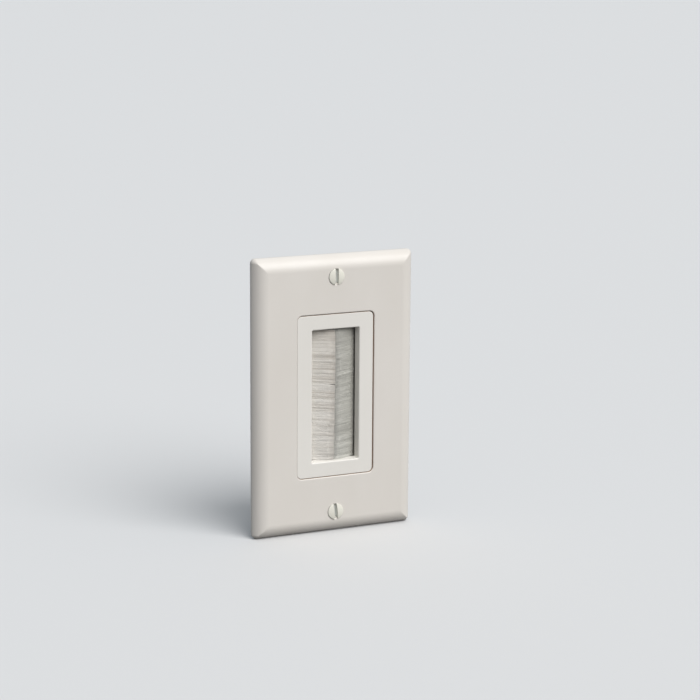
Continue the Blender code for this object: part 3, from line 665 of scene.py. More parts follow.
def slabs_each_side(name, near, far, heights, thickness, corner, front, rear, soft):
    """A slab from near to far on the left and on the right, at each of the heights."""
    size = (far - near, thickness, corner)
    return [
        soft_slab(f"{name}_{side}_{number}", size, front, rear, soft, (side * (near + far) / 2, height))
        for side in (-1, 1)
        for number, height in enumerate(heights)
    ]


# %% [markdown]
# ## Joining and cutting
#
# A moulding is one piece of plastic, so its ribs and bosses have to grow out of its wall. Shells that
# only overlap would leave hidden faces inside. Blender's Boolean joins closed shells properly and also
# cuts the holes.
#
# Each shape to be joined or cut is used up: the result is frozen into the mesh and the helper goes. At
# the end the rounds are shaded smooth, corners over 32 degrees stay crisp, and the Weighted Normal
# modifier lets the big flat faces decide the shading where a small round meets them.

# %% Join, cut and finish
CRISP_ANGLE = np.radians(32)


def combine(target, helpers, operation):
    """Joins or cuts each helper in turn, then freezes the result and removes the helpers."""
    for helper in helpers:
        step = target.modifiers.new(helper.name, "BOOLEAN")
        step.operation = operation
        step.solver = "EXACT"
        step.object = helper
    freeze(target)
    for helper in helpers:
        bpy.data.objects.remove(helper, do_unlink=True)


def freeze(made):
    """The mesh as its modifiers leave it, with no modifier left."""
    seen_now = made.evaluated_get(bpy.context.evaluated_depsgraph_get())
    mesh = bpy.data.meshes.new_from_object(seen_now)
    old = made.data
    made.modifiers.clear()
    made.data = mesh
    bpy.data.meshes.remove(old)


def settle(made):
    """Smooth rounds, crisp corners, and flat faces that stay flat in the shading."""
    made.data.shade_smooth()
    made.data.set_sharp_from_angle(angle=CRISP_ANGLE)
    step = made.modifiers.new("settled_shading", "WEIGHTED_NORMAL")
    step.keep_sharp = True
    freeze(made)


def put_in_place(made, node, material):
    """The piece stands for one CAD node, rides on the body and names its finish."""
    made.data.materials.clear()
    made.data.materials.append(material)
    made.data.name = made.name
    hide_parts(node)
    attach(made, "root")
    print(made.name, "has", sum(len(face.vertices) - 2 for face in made.data.polygons), "triangles")


def complete_moulding(made, joined, cuts, node, material):
    """Joins the one list of shapes, cuts the other, and settles the moulding in its place."""
    combine(made, joined, "UNION")
    combine(made, cuts, "DIFFERENCE")
    settle(made)
    put_in_place(made, node, material)


# %% [markdown]
# ## The cover plate
#
# From the front the plate is a flat face with a sloping bevel that rounds softly into it. Behind, it
# is a shell 2 mm thick with a rim that lies on the wall, a collar round the opening, four ribs on each
# side and a boss behind each screw.
#
# It could be a box with its edges bevelled, but the bevel here isn't a plain chamfer: it starts steep
# at the side, at 68 degrees, and crowns over into the face in one long arc, so that its shading never
# breaks. So the whole wall is drawn once as a profile and carried round. Each point of the profile
# says how far inside the outline it lies and how deep. The outline's corner radius shrinks as the
# profile moves inwards, down to a small mitre, just as the mould was cut.

# %% Sizes of the cover plate
PLATE = (plate_high.x - plate_low.x, plate_high.z - plate_low.z, 2.0 * MM)
PLATE_WALL = 2.0 * MM
PLATE_EDGE = 1.6 * MM          # from the wall to where the bevel starts
BEVEL_ANGLE = np.radians(68)
BEVEL_ROUND = 6.3 * MM
BEVEL_STEPS = 32
MITRE_ROUND = 0.35 * MM
LIP_ROUND = 0.45 * MM
RIM_WALL = 2.0 * MM
RIM_STEP = 1.2 * MM
RIM_CHAMFER = 0.25 * MM
COLLAR_WALL = 1.4 * MM
COLLAR_REAR_Y = -1.9 * MM
COLLAR_FILLET = 0.3 * MM
OPENING = (33.7 * MM, 67.1 * MM, 2.2 * MM)
FLAT_EDGE = 0.25 * MM          # narrow flat strip that keeps a round's shading off the face
print("plate", round(PLATE[0] / MM, 2), "by", round(PLATE[1] / MM, 2), "mm")


def plate_section(inset, y):
    """A loop this far inside the plate's outline."""
    return around(PLATE, -inset, y, MITRE_ROUND)


def bevel_sections():
    """Slope, then an arc: inset grows by R(sin 68 - sin t) and depth by R(1 - cos t) as t falls to 0."""
    arc_depth = BEVEL_ROUND * (1 - np.cos(BEVEL_ANGLE))
    slope_inset = (-FACE_Y - arc_depth - PLATE_EDGE) / np.tan(BEVEL_ANGLE)
    angle = np.linspace(BEVEL_ANGLE, 0, BEVEL_STEPS)
    inset = slope_inset + BEVEL_ROUND * (np.sin(BEVEL_ANGLE) - np.sin(angle))
    depth = FACE_Y + BEVEL_ROUND * (1 - np.cos(angle))
    return [plate_section(i, y) for i, y in zip(inset, depth)], inset[-1]


# %% Carry the plate's profile round


def plate_shell():
    """Side, bevel, face, lip of the opening, collar, hollow back and rim, as one ring of loops."""
    bevel, bevel_width = bevel_sections()
    inner = FACE_Y + PLATE_WALL
    sections = [
        plate_section(RIM_CHAMFER, 0.0),
        plate_section(0.0, -RIM_CHAMFER),
        plate_section(0.0, -PLATE_EDGE),
        *bevel,
        plate_section(bevel_width + FLAT_EDGE, FACE_Y),
        around(OPENING, LIP_ROUND + FLAT_EDGE, FACE_Y),
        *edge_loops(OPENING, LIP_ROUND, LIP_ROUND, FACE_Y),
        around(OPENING, 0.0, COLLAR_REAR_Y),
        around(OPENING, COLLAR_WALL, COLLAR_REAR_Y),
        around(OPENING, COLLAR_WALL, inner - COLLAR_FILLET),
        around(OPENING, COLLAR_WALL + COLLAR_FILLET, inner),
        plate_section(bevel_width, inner),
        plate_section(RIM_WALL, -RIM_STEP),
        plate_section(RIM_WALL, 0.0),
    ]
    return loft("plate_moulding", carried_round(sections), ring=True)


plate = plate_shell()
print("shell of the plate:", len(plate.data.vertices), "points")

# %% [markdown]
# ### Ribs, bosses and screw holes
#
# The ribs are thin slabs whose free edge is rounded, because a sharp inner corner in a mould cracks.
# Each boss is a short turned post behind a screw. The box screw's head needs room beside it, so
# a round relief is cut from the boss. The countersink opens towards the front at the angle of the
# screw's head.

# %% Ribs, bosses, reliefs and countersinks
RIB_THICKNESS = 1.2 * MM
RIB_CORNER = 0.25 * MM
RIB_SOFT = 0.2 * MM
RIB_HEIGHTS = (np.arange(4) - 1.5) * 22.0 * MM
BOSS_RADIUS = 4.3 * MM
BOSS_CHAMFER = 0.25 * MM
SINK = 0.4 * MM                # how far a joined shape runs into the wall
PLATE_SCREW_Z = 48.42 * MM
BOX_SCREW_Z = 41.67 * MM
SCREW_HOLE_RADIUS = 2.05 * MM
SEAT_RADIUS = 3.43 * MM
SEAT_SLOPE = np.tan(np.radians(41))
HEAD_ROOM_RADIUS = 4.1 * MM
HEAD_ROOM_Y = FACE_Y + PLATE_WALL + 0.1 * MM

root_y = FACE_Y + PLATE_WALL - SINK
ribs = slabs_each_side(
    "rib", OPENING[0] / 2 + COLLAR_WALL - SINK, PLATE[0] / 2 - RIM_WALL - RIM_STEP, RIB_HEIGHTS,
    RIB_THICKNESS, RIB_CORNER, root_y, COLLAR_REAR_Y, RIB_SOFT,
)
post = [
    (BOSS_RADIUS, root_y), (BOSS_RADIUS, COLLAR_REAR_Y - BOSS_CHAMFER),
    (BOSS_RADIUS - BOSS_CHAMFER, COLLAR_REAR_Y),
]
seat = [
    (SEAT_RADIUS + MM * SEAT_SLOPE, FACE_Y - MM),
    (SCREW_HOLE_RADIUS, FACE_Y + (SEAT_RADIUS - SCREW_HOLE_RADIUS) / SEAT_SLOPE),
    (SCREW_HOLE_RADIUS, MM),
]
bosses = []
reliefs = []
seats = []
for side in (-1, 1):
    plate_screw = (0, side * PLATE_SCREW_Z)
    bosses.append(turned(f"boss_{side}", post, centre=plate_screw))
    reliefs.append(pin(f"relief_{side}", HEAD_ROOM_RADIUS, HEAD_ROOM_Y, 0.0, (0, side * BOX_SCREW_Z)))
    seats.append(turned(f"seat_{side}", seat, centre=plate_screw))
complete_moulding(plate, ribs + bosses, reliefs + seats, "cover_plate", plate_plastic)

# %% [markdown]
# ## The brush insert
#
# The insert fills the plate's opening. Its face lies 0.2 mm behind the plate's face, its edges are
# rounded, and the window's reveal runs 3.4 mm deep. Behind the plate it widens into a body with a
# pocket for each brush, and two ears that carry the screws.
#
# It is made as its mould makes it: the front is one profile carried round the window, and slabs are
# joined and cut for the body. Small rounds on the slabs' edges keep them from looking sawn.

# %% The insert's front, as one ring of loops
INSERT_FACE_Y = FACE_Y + 0.2 * MM
INSERT = (33.2 * MM, 66.6 * MM, 1.95 * MM)
WINDOW = (20.6 * MM, 54.5 * MM, 0.5 * MM)
REVEAL_REAR = (19.88 * MM, 53.78 * MM, 0.3 * MM)    # the reveal tapers, so its rear opening is smaller
INSERT_WALL = 2.0 * MM
INSERT_SIDE_WALL = 1.8 * MM
INSERT_ROUND = 0.2 * MM
INSERT_MITRE = 0.5 * MM
INSERT_SHIFT = -0.2 * MM       # the insert is pushed to the left in its opening
WINDOW_ROUND = 0.5 * MM
REVEAL_DEPTH = 3.4 * MM
REVEAL_WALL = 1.8 * MM
REVEAL_CHAMFER = 0.15 * MM
EAR_FRONT_Y = -1.6 * MM


def insert_section(inset, y):
    """A loop this far inside the insert's outline."""
    return around(INSERT, -inset, y, INSERT_MITRE)


def insert_front():
    """Side wall, rounded edge, face, window lip, reveal, and back along the inner walls."""
    inner = INSERT_FACE_Y + INSERT_WALL
    reveal_end = INSERT_FACE_Y + REVEAL_DEPTH
    rear = EAR_FRONT_Y + SINK
    outside = [
        insert_section(0.0, rear),
        *edge_loops(INSERT, -INSERT_ROUND, INSERT_ROUND, INSERT_FACE_Y)[::-1],
        insert_section(INSERT_ROUND + FLAT_EDGE, INSERT_FACE_Y),
    ]
    window = [
        around(WINDOW, WINDOW_ROUND + FLAT_EDGE, INSERT_FACE_Y),
        *edge_loops(WINDOW, WINDOW_ROUND, WINDOW_ROUND, INSERT_FACE_Y),
        around(REVEAL_REAR, 0.0, reveal_end - REVEAL_CHAMFER),
        around(REVEAL_REAR, REVEAL_CHAMFER, reveal_end),
        around(WINDOW, REVEAL_WALL, reveal_end),
        around(WINDOW, REVEAL_WALL, inner),
    ]
    inside = [insert_section(INSERT_SIDE_WALL, inner), insert_section(INSERT_SIDE_WALL, rear)]
    shifted = (INSERT_SHIFT, 0.0)
    loops = [carried_round(outside, shifted), carried_round(window), carried_round(inside, shifted)]
    return loft("insert_moulding", np.concatenate(loops), ring=True)


insert = insert_front()
print("front of the insert:", len(insert.data.vertices), "points")

# %% The insert's body, pads and gussets
BODY = (38.6 * MM, INSERT[1], 2.5 * MM)
BODY_REAR_Y = 4.8 * MM
POCKET = (34.2 * MM, 56.6 * MM, 0.5 * MM)
LEDGE_Y = -0.5 * MM
EDGE_SOFT = 0.2 * MM
POCKET_SOFT = 0.1 * MM
WELL_SOFT = 0.05 * MM
PAD_THICKNESS = 1.2 * MM
PAD_CORNER = 0.15 * MM
PAD_SOFT = 0.1 * MM
PAD_HEIGHTS = (np.arange(5) - 2) * 12.5 * MM
GUSSET_LENGTH = 4.0 * MM
GUSSET_DEPTH = 3.6 * MM
GUSSET_HALF = 0.7 * MM
GUSSET_X = 8.5 * MM


def insert_body():
    """The block behind the plate, cut out for the brushes and for the well behind the front wall."""
    well_size = (INSERT[0] - 2 * INSERT_SIDE_WALL, POCKET[1], POCKET[2])
    body = soft_slab("body", BODY, EAR_FRONT_Y, BODY_REAR_Y, EDGE_SOFT)
    pocket = soft_slab("pocket", POCKET, LEDGE_Y, BODY_REAR_Y + MM, POCKET_SOFT)
    well = soft_slab("well", well_size, EAR_FRONT_Y - SINK, LEDGE_Y + SINK, WELL_SOFT)
    combine(body, [pocket, well], "DIFFERENCE")
    return body


def gusset(side, across):
    """A triangle behind the ear's root, as a loft of its two flat cheeks."""
    root = INSERT[1] / 2
    outline = np.array([
        [root - SINK, -SINK], [root + GUSSET_LENGTH, -SINK], [root - SINK, GUSSET_DEPTH],
    ])
    cheeks = np.array([-GUSSET_HALF, GUSSET_HALF]) + across * GUSSET_X
    points = np.empty((2, 3, 3))
    points[..., 0] = cheeks[:, None]
    points[..., 1] = outline[:, 1]
    points[..., 2] = side * outline[:, 0]
    return loft(f"gusset_{side}_{across}", points)


joined = [insert_body()]
joined += slabs_each_side(
    "pad", WINDOW[0] / 2 + REVEAL_WALL - SINK, INSERT[0] / 2 - INSERT_SIDE_WALL + SINK, PAD_HEIGHTS,
    PAD_THICKNESS, PAD_CORNER, INSERT_FACE_Y + INSERT_WALL - SINK, LEDGE_Y, PAD_SOFT,
)
print("body and pads:", len(joined), "shapes to join")

# %% Ears and holes of the insert
EAR_END = 52.9 * MM
EAR_CORNER = 3.0 * MM
EAR_ROOT = INSERT[1] / 2 - EAR_CORNER - SINK
EAR = (22.0 * MM, EAR_END - EAR_ROOT, EAR_CORNER)
EAR_SLOT = (7.6 * MM, 2 * SCREW_HOLE_RADIUS, SCREW_HOLE_RADIUS * 0.999)    # just short of a half circle
END_CORE = (18.0 * MM, 2.0 * MM, 0.5 * MM)
CLAMP_SPOTS = {
    (side, across): (across * 14.2 * MM, side * 30.8 * MM) for side in (-1, 1) for across in (-1, 1)
}
CLAMP_HOLE_RADIUS = 1.4 * MM
CLAMP_HOLE_FRONT_Y = BODY_REAR_Y - 5.8 * MM


def prism(name, size, front, rear, centre):
    """A rounded rectangle with thickness and sharp edges, for a hole."""
    return loft(name, carried_round([(*size, front), (*size, rear)], centre))


holes = []
hole_rear = BODY_REAR_Y + SINK
for side in (-1, 1):
    ear_centre = (0.0, side * (EAR_ROOT + EAR_END) / 2)
    joined.append(soft_slab(f"ear_{side}", EAR, EAR_FRONT_Y, 0.0, EDGE_SOFT, ear_centre))
    joined += [gusset(side, across) for across in (-1, 1)]
    holes.append(pin(f"ear_hole_{side}", SCREW_HOLE_RADIUS, FACE_Y, -FACE_Y, (0, side * PLATE_SCREW_Z)))
    holes.append(prism(f"ear_slot_{side}", EAR_SLOT, FACE_Y, -FACE_Y, (0, side * BOX_SCREW_Z)))
    core_centre = (0, CLAMP_SPOTS[side, 1][1])
    holes.append(prism(f"core_{side}", END_CORE, INSERT_FACE_Y + INSERT_WALL, hole_rear, core_centre))
    for across in (-1, 1):
        spot = CLAMP_SPOTS[side, across]
        bore = pin(f"bore_{side}_{across}", CLAMP_HOLE_RADIUS, CLAMP_HOLE_FRONT_Y, hole_rear, spot, 32)
        holes.append(bore)
complete_moulding(insert, joined, holes, "brush_insert", insert_plastic)

# %% [markdown]
# ## The rear clamp frame
#
# A flat frame closes the brush pockets from behind. Cables slide over its opening, so that edge has
# the largest round. It is a ring of loops again, with four screw holes cut through.

# %% The clamp frame
CLAMP_FRONT_Y = 5.1 * MM
CLAMP_REAR_Y = 7.1 * MM
CLAMP_OPENING = (24.6 * MM, 54.5 * MM, 0.5 * MM)
CLAMP_ROUND = 0.8 * MM
CLAMP_SOFT = 0.25 * MM


def clamp_ring():
    """Outside with small rounds, then the opening with one large quarter round at the rear."""
    sections = [
        *edge_loops(BODY, -CLAMP_SOFT, CLAMP_SOFT, CLAMP_FRONT_Y, 3),
        *edge_loops(BODY, -CLAMP_SOFT, -CLAMP_SOFT, CLAMP_REAR_Y, 3)[::-1],
        around(BODY, -CLAMP_SOFT - FLAT_EDGE, CLAMP_REAR_Y),
        around(CLAMP_OPENING, CLAMP_ROUND + FLAT_EDGE, CLAMP_REAR_Y),
        *edge_loops(CLAMP_OPENING, CLAMP_ROUND, -CLAMP_ROUND, CLAMP_REAR_Y),
        around(CLAMP_OPENING, 0.0, CLAMP_FRONT_Y),
    ]
    return loft("clamp_moulding", carried_round(sections), ring=True)


clamp = clamp_ring()
clamp_holes = [
    pin(f"clamp_hole_{place}", CLAMP_HOLE_RADIUS, CLAMP_FRONT_Y - SINK, CLAMP_REAR_Y + SINK, spot, 36)
    for place, spot in CLAMP_SPOTS.items()
]
complete_moulding(clamp, [], clamp_holes, "rear_clamp_frame", clamp_plastic)

# %% [markdown]
# ## The screws
#
# A screw is a turned profile whose radius also depends on the angle: along a thread the groove climbs
# by one pitch in each turn. If the turn count at a point is y / pitch - angle / 360, the fraction of
# it says where in the groove the point lies, and a triangle wave of it gives the depth.
#
# The plate's screws have oval heads, domed and countersunk, with one straight slot. The upper slot
# stands upright and the lower one almost, as a hand leaves them. The box screws have a flat dome and a
# level slot, and the clamp screws a pan head with a cross.

# %% Threads, heads and slots
SHANK_RADIUS = 1.75 * MM
PITCH = 0.794 * MM
THREAD_DEPTH = 0.42 * MM
ROWS_A_TURN = 12
END_CHAMFER = 0.6 * MM
END_MIDDLE = 0.05 * MM         # radius of the small flat in the middle of a screw's end
BLADE_CORNER = 0.12 * MM
BLADE_SOFT = 0.1 * MM
BLADE_HALF = 6 * MM            # half the length of a blade that cuts right across a head
HEIGHTS = (("upper", 1), ("lower", -1))
HANDS = (("left", -1), ("right", 1))


def threaded(pitch, depth, start, stop, fade):
    """Radius less a wave of y / pitch - angle / turn: a triangle with flat crests, faded at both ends."""
    def groove(radius, y, angle):
        turn = y / pitch - angle / (2 * np.pi)
        wave = 2 * np.abs((turn % 1.0) - 0.5)
        valley = np.clip(1.25 - 1.5 * wave, 0.0, 1.0)
        inside = np.clip((y - start) / fade, 0, 1) * np.clip((stop - y) / fade, 0, 1)
        return radius - depth * valley * inside
    return groove


def dome_profile(radius, rise, base_y, towards, steps=14):
    """Ball cap: height = sqrt(B^2 - r^2) - (B - rise), from near the middle out to the edge."""
    ball = (radius**2 + rise**2) / (2 * rise)
    across = radius * np.linspace(0.02, 1.0, steps)
    height = np.sqrt(ball**2 - across**2) - (ball - rise)
    return [(r, base_y + towards * h) for r, h in zip(across, height)]


def shank_rows(start, stop, radius, pitch):
    """Rows down the shank, twelve to each turn of the thread, and a chamfered end."""
    count = int(ROWS_A_TURN * (stop - start) / pitch)
    rows = [(radius, y) for y in np.linspace(start, stop - END_CHAMFER, count)]
    chamfer = [(radius - back, stop - END_CHAMFER + back) for back in (END_CHAMFER / 2, END_CHAMFER)]
    return rows + chamfer + [(END_MIDDLE, stop)]


def cut_screw(name, rows, steps, centre, groove, blades):
    """A turned screw, cut by one blade (width, front, rear, half length, turn) after the other."""
    screw = turned(name, rows, steps, centre, groove)
    for width, front, rear, reach, turn in blades:
        blade = soft_slab(f"{name}_blade", (width, 2 * reach, BLADE_CORNER), front, rear, BLADE_SOFT)
        across_head = Matrix.Translation((centre[0], 0, centre[1])) @ Matrix.Rotation(turn, 4, "Y")
        blade.data.transform(across_head)
        combine(screw, [blade], "DIFFERENCE")
    settle(screw)
    return screw


# %% The two enamelled plate screws
PLATE_HEAD_RADIUS = 3.3 * MM
PLATE_HEAD_RISE = 0.78 * MM
HEAD_PROUD = 0.35 * MM         # the head's edge stands this far in front of the plate
EDGE_ROUND = 0.05 * MM
HEAD_SLOT_WIDTH = 1.4 * MM
HEAD_SLOT_DEPTH = 1.9 * MM
PLATE_SCREW_LENGTH = 12.7 * MM
OFF_CENTRE = 0.06 * MM         # how far each screw sits up and to the right in its seat
SLOT_TURNS = {"upper": 0.0, "lower": np.radians(-5.5)}

tip = FACE_Y + PLATE_SCREW_LENGTH
neck = FACE_Y + (PLATE_HEAD_RADIUS - SHANK_RADIUS) / SEAT_SLOPE
edge_y = FACE_Y - HEAD_PROUD
head = dome_profile(PLATE_HEAD_RADIUS - EDGE_ROUND, PLATE_HEAD_RISE - HEAD_PROUD, edge_y, -1)
rim = [
    (PLATE_HEAD_RADIUS, edge_y + EDGE_ROUND),
    (PLATE_HEAD_RADIUS, FACE_Y),
    (PLATE_HEAD_RADIUS - 0.02 * MM, FACE_Y + 0.12 * MM),
]
rows = head + rim + shank_rows(neck, tip, SHANK_RADIUS, PITCH)
groove = threaded(PITCH, THREAD_DEPTH, start=neck + 0.5 * MM, stop=tip - 0.3 * MM, fade=0.6 * MM)
dome_y = FACE_Y - PLATE_HEAD_RISE
for height, side in HEIGHTS:
    centre = (OFF_CENTRE, side * PLATE_SCREW_Z + OFF_CENTRE)
    slot = (HEAD_SLOT_WIDTH, dome_y - MM, dome_y + HEAD_SLOT_DEPTH, BLADE_HALF, SLOT_TURNS[height])
    screw = cut_screw(f"{height}_enamelled_screw", rows, 56, centre, groove, [slot])
    put_in_place(screw, f"{height}_plate_screw", screw_enamel)

# %% The two box screws
BOX_HEAD_RADIUS = 3.8 * MM
BOX_HEAD_RISE = 1.2 * MM
BOX_SEAT_Y = -1.9 * MM
BOX_SCREW_LENGTH = 19.0 * MM
BOX_SLOT_WIDTH = 1.1 * MM
BOX_SLOT_DEPTH = 0.7 * MM

tip = BOX_SEAT_Y + BOX_SCREW_LENGTH
dome_y = BOX_SEAT_Y - BOX_HEAD_RISE
head = dome_profile(BOX_HEAD_RADIUS, BOX_HEAD_RISE, BOX_SEAT_Y, -1)
rows = head + shank_rows(BOX_SEAT_Y, tip, SHANK_RADIUS, PITCH)
groove = threaded(PITCH, THREAD_DEPTH, start=BOX_SEAT_Y + 0.8 * MM, stop=tip - 0.3 * MM, fade=0.6 * MM)
slot = (BOX_SLOT_WIDTH, dome_y - MM, dome_y + BOX_SLOT_DEPTH, BLADE_HALF, np.pi / 2)
for height, side in HEIGHTS:
    screw = cut_screw(f"{height}_zinc_screw", rows, 48, (0.0, side * BOX_SCREW_Z), groove, [slot])
    put_in_place(screw, f"{height}_box_screw", zinc_steel)

# %% The four clamp screws
CLAMP_HEAD_RADIUS = 2.2 * MM
CLAMP_HEAD_RISE = 1.4 * MM
CLAMP_SEAT_Y = 7.4 * MM
CLAMP_SCREW_LENGTH = 8.0 * MM
CLAMP_SHANK_RADIUS = 1.1 * MM
CLAMP_PITCH = 0.95 * MM
CLAMP_THREAD_DEPTH = 0.3 * MM
CROSS_WIDTH = 0.7 * MM
CROSS_HALF = 1.1 * MM
CROSS_DEPTH = 0.85 * MM
CROSS_STEP = 0.02 * MM         # the second blade cuts deeper, so that the two floors don't coincide
CROSS_TURN = 0.1               # radians, which keeps the cross's corners off the dome's own edges

tip = CLAMP_SEAT_Y - CLAMP_SCREW_LENGTH
top = CLAMP_SEAT_Y + CLAMP_HEAD_RISE
head = dome_profile(CLAMP_HEAD_RADIUS, CLAMP_HEAD_RISE, CLAMP_SEAT_Y, 1)
shank = shank_rows(-CLAMP_SEAT_Y, -tip, CLAMP_SHANK_RADIUS, CLAMP_PITCH)
rows = head + [(radius, -y) for radius, y in shank]
groove = threaded(
    CLAMP_PITCH, CLAMP_THREAD_DEPTH, start=tip + 0.3 * MM, stop=CLAMP_SEAT_Y - 0.4 * MM, fade=0.5 * MM
)
floor_y = top - CROSS_DEPTH
cross = [
    (CROSS_WIDTH, floor_y, top + MM, CROSS_HALF, CROSS_TURN),
    (CROSS_WIDTH, floor_y - CROSS_STEP, top + MM, CROSS_HALF, CROSS_TURN + np.pi / 2),
]
for height, side in HEIGHTS:
    for hand, across in HANDS:
        spot = CLAMP_SPOTS[side, across]
        screw = cut_screw(f"{height}_{hand}_pan_screw", rows, 40, spot, groove, cross)
        put_in_place(screw, f"{height}_{hand}_clamp_screw", zinc_steel)

# %% [markdown]
# ## The two brushes
#
# This is what the eye goes to. Each brush is a bundle of some thousands of nylon filaments. They come
# out of a metal channel beside the window, turn forward round the reveal's edge and meet the other
# brush in a low crown. Nothing about them is regular: they lean together in tufts, their tips end at
# slightly different lengths, and the line where the brushes meet wanders.
#
# Blender's hair would draw them, but hair isn't a mesh and couldn't be exported as one. So each
# filament is a tube with three sides and a few rings. All tubes of a brush are worked out together: one
# array holds the middle line of every filament, a second the ring round it, and their sum is the
# mesh.
#
# A filament's middle line, with s from 0 at the channel to 1 at the tip: x goes straight across. The
# rise towards the front has two parts, a quick turn out of the channel, 1 - (1 - s) to the power 12,
# and a long arc that flattens towards the tip, 1 - (1 - s) squared. z drifts towards the middle of the
# tuft, and the free end droops by the cube of s. The rings stand closer where the line bends most.

# %% Sizes of the brushes
MOUTH_X = 11.3 * MM
BRUSH_REACH = 11.3 * MM
FRONT_START_Y = 0.8 * MM
REAR_START_Y = 3.8 * MM
FRONT_RISE = 5.1 * MM
REAR_RISE = 5.0 * MM
TURN_SHARE = 0.2              # share of the rise that the quick turn takes
DROOP = 0.75 * MM             # how far the tips hang
ROOT_HALF = 27.8 * MM         # half the length of the row of roots in its channel
FILAMENTS = 5200
FILAMENT_RADIUS = 0.095 * MM
TUFTS = 26
RING_PLACES = np.array([-0.12, 0.0, 0.07, 0.18, 0.42, 0.72, 1.0])
print(2 * FILAMENTS, "filaments with", len(RING_PLACES), "rings each")

# %% [markdown]
# ### Bending the lines
#
# The window's end is nearer than the end of the channel. A filament that would hit the reveal is drawn
# in as it rises: beyond a knee, its distance is squeezed until the last one just passes. The walls at
# both ends also hold the filaments that touch them. These rise a little less and droop less, and at the
# lower end they sag onto the wall. Such a hold is strongest at the end and dies away with the distance.

# %% Rise, squeeze and hold
KNEE = 21.0 * MM
PASSAGE = 26.65 * MM          # half the height that is free at the reveal's rear edge
SQUEEZE_FROM = 0.6 * MM       # depth at which the squeeze starts
SQUEEZE_TO = -1.6 * MM


def risen(s):
    """Share of the rise: 0.2 (1 - (1 - s)^12) for the turn and 0.8 (1 - (1 - s)^2) for the arc."""
    return TURN_SHARE * (1 - (1 - s)**12) + (1 - TURN_SHARE) * (1 - (1 - s)**2)


def drawn_in(z, y):
    """z with |z| beyond the knee scaled down by a share that grows from 0 to 1 between two depths."""
    share = np.clip((SQUEEZE_FROM - y) / (SQUEEZE_FROM - SQUEEZE_TO), 0, 1)
    ratio = (PASSAGE - KNEE) / (ROOT_HALF - KNEE)
    beyond = np.clip(np.abs(z) - KNEE, 0, None)
    return z - np.sign(z) * beyond * (1 - ratio) * share * share * (3 - 2 * share)


def hold(distance, ease):
    """1 at the end wall and beyond, divided by e for each ease of distance from it."""
    return np.exp(-np.clip(distance, 0, None) / ease)


def wander(values, z):
    """Values at even places along the row of roots, joined by half a cosine wave each."""
    spot = (np.clip(z / ROOT_HALF, -1, 1) + 1) / 2 * (len(values) - 1)
    low = np.minimum(spot.astype(int), len(values) - 2)
    share = (1 - np.cos(np.pi * (spot - low))) / 2
    return values[low] * (1 - share) + values[low + 1] * share


SEAM_POINTS = 27
SEAM_WANDER = 0.15 * MM
SEAM_LEAN = (-0.12 * MM, 0.36 * MM)   # x of the seam's straight line at its lower and its upper end
seam_x = np.random.default_rng(11).uniform(-SEAM_WANDER, SEAM_WANDER, SEAM_POINTS)
seam_x += np.linspace(*SEAM_LEAN, SEAM_POINTS)
print("the seam wanders by", round(np.ptp(seam_x) / MM, 2), "mm")

# %% [markdown]
# ### Where the filaments stand
#
# Roots thrown down at random clump and leave holes, and each hole would be a black line. So the roots
# stand at even places with a little jitter, and each next one goes to another layer: its number times
# the golden ratio, less the whole turns, never falls near the layers used just before. A cosine then
# moves most filaments to the two faces of the bundle, where they are seen, and every third one goes to
# the front face itself.
#
# The rear filaments reach a little past the middle, between those of the other brush, so that no light
# shows through the seam.

# %% Roots and layers
ROOT_JITTER = 2.0             # in steps from one root to the next
GOLDEN = 0.6180339887
SHEET_EVERY = 3               # each third filament lies in the bundle's front face


def rooted(rng):
    """Each filament's place along the row, and its layer from 0 at the front face to 1 at the rear."""
    order = np.arange(FILAMENTS)
    even = (order + rng.uniform(-ROOT_JITTER, ROOT_JITTER, FILAMENTS)) / (FILAMENTS - 1)
    root_z = np.clip(2 * even - 1, -1, 1) * ROOT_HALF
    layer = (1 - np.cos(np.pi * (order * GOLDEN % 1.0))) / 2
    return root_z, np.where(order % SHEET_EVERY == 0, 0.0, layer)


# %% [markdown]
# ### From roots to lines
#
# Now the lines are drawn from root to tip. Every kind of unevenness has its own spread: a whole tuft is
# pulled together, leans sideways and is pushed forward or back, and each filament adds its own length,
# depth, drift and bow. The draws come in a fixed order, so the brushes are the same each time.

# %% Middle lines of all filaments of one brush
TIP_GAP = 0.02 * MM           # from the middle line to the longest tips
CROSSING = 0.018              # share of the reach by which the rear filaments pass the middle line
LENGTH_SPREAD = 0.003         # as a share of the reach
PULL_MOST = 0.06              # largest share of the way to the tuft's middle
LEAN_SPREAD = 0.10 * MM
PUSH_SPREAD = 0.02 * MM
DEPTH_SPREAD = 0.012 * MM
DRIFT_SPREAD = 0.05 * MM
DRIFT_POWER = 1.6             # the drift grows with this power of the length
BOW_SPREAD = 0.05 * MM
SIDE_DEPTH = 0.06 * MM        # the left tips lie this far in front and the right ones behind
DROOP_EASE = 4.0 * MM
HELD_BACK = 0.1               # share of the rise that the end walls take from the last filaments
SAG = 0.3 * MM                # how far the lowest ones sag onto the window's lower wall
SAG_EASE = 2.0 * MM


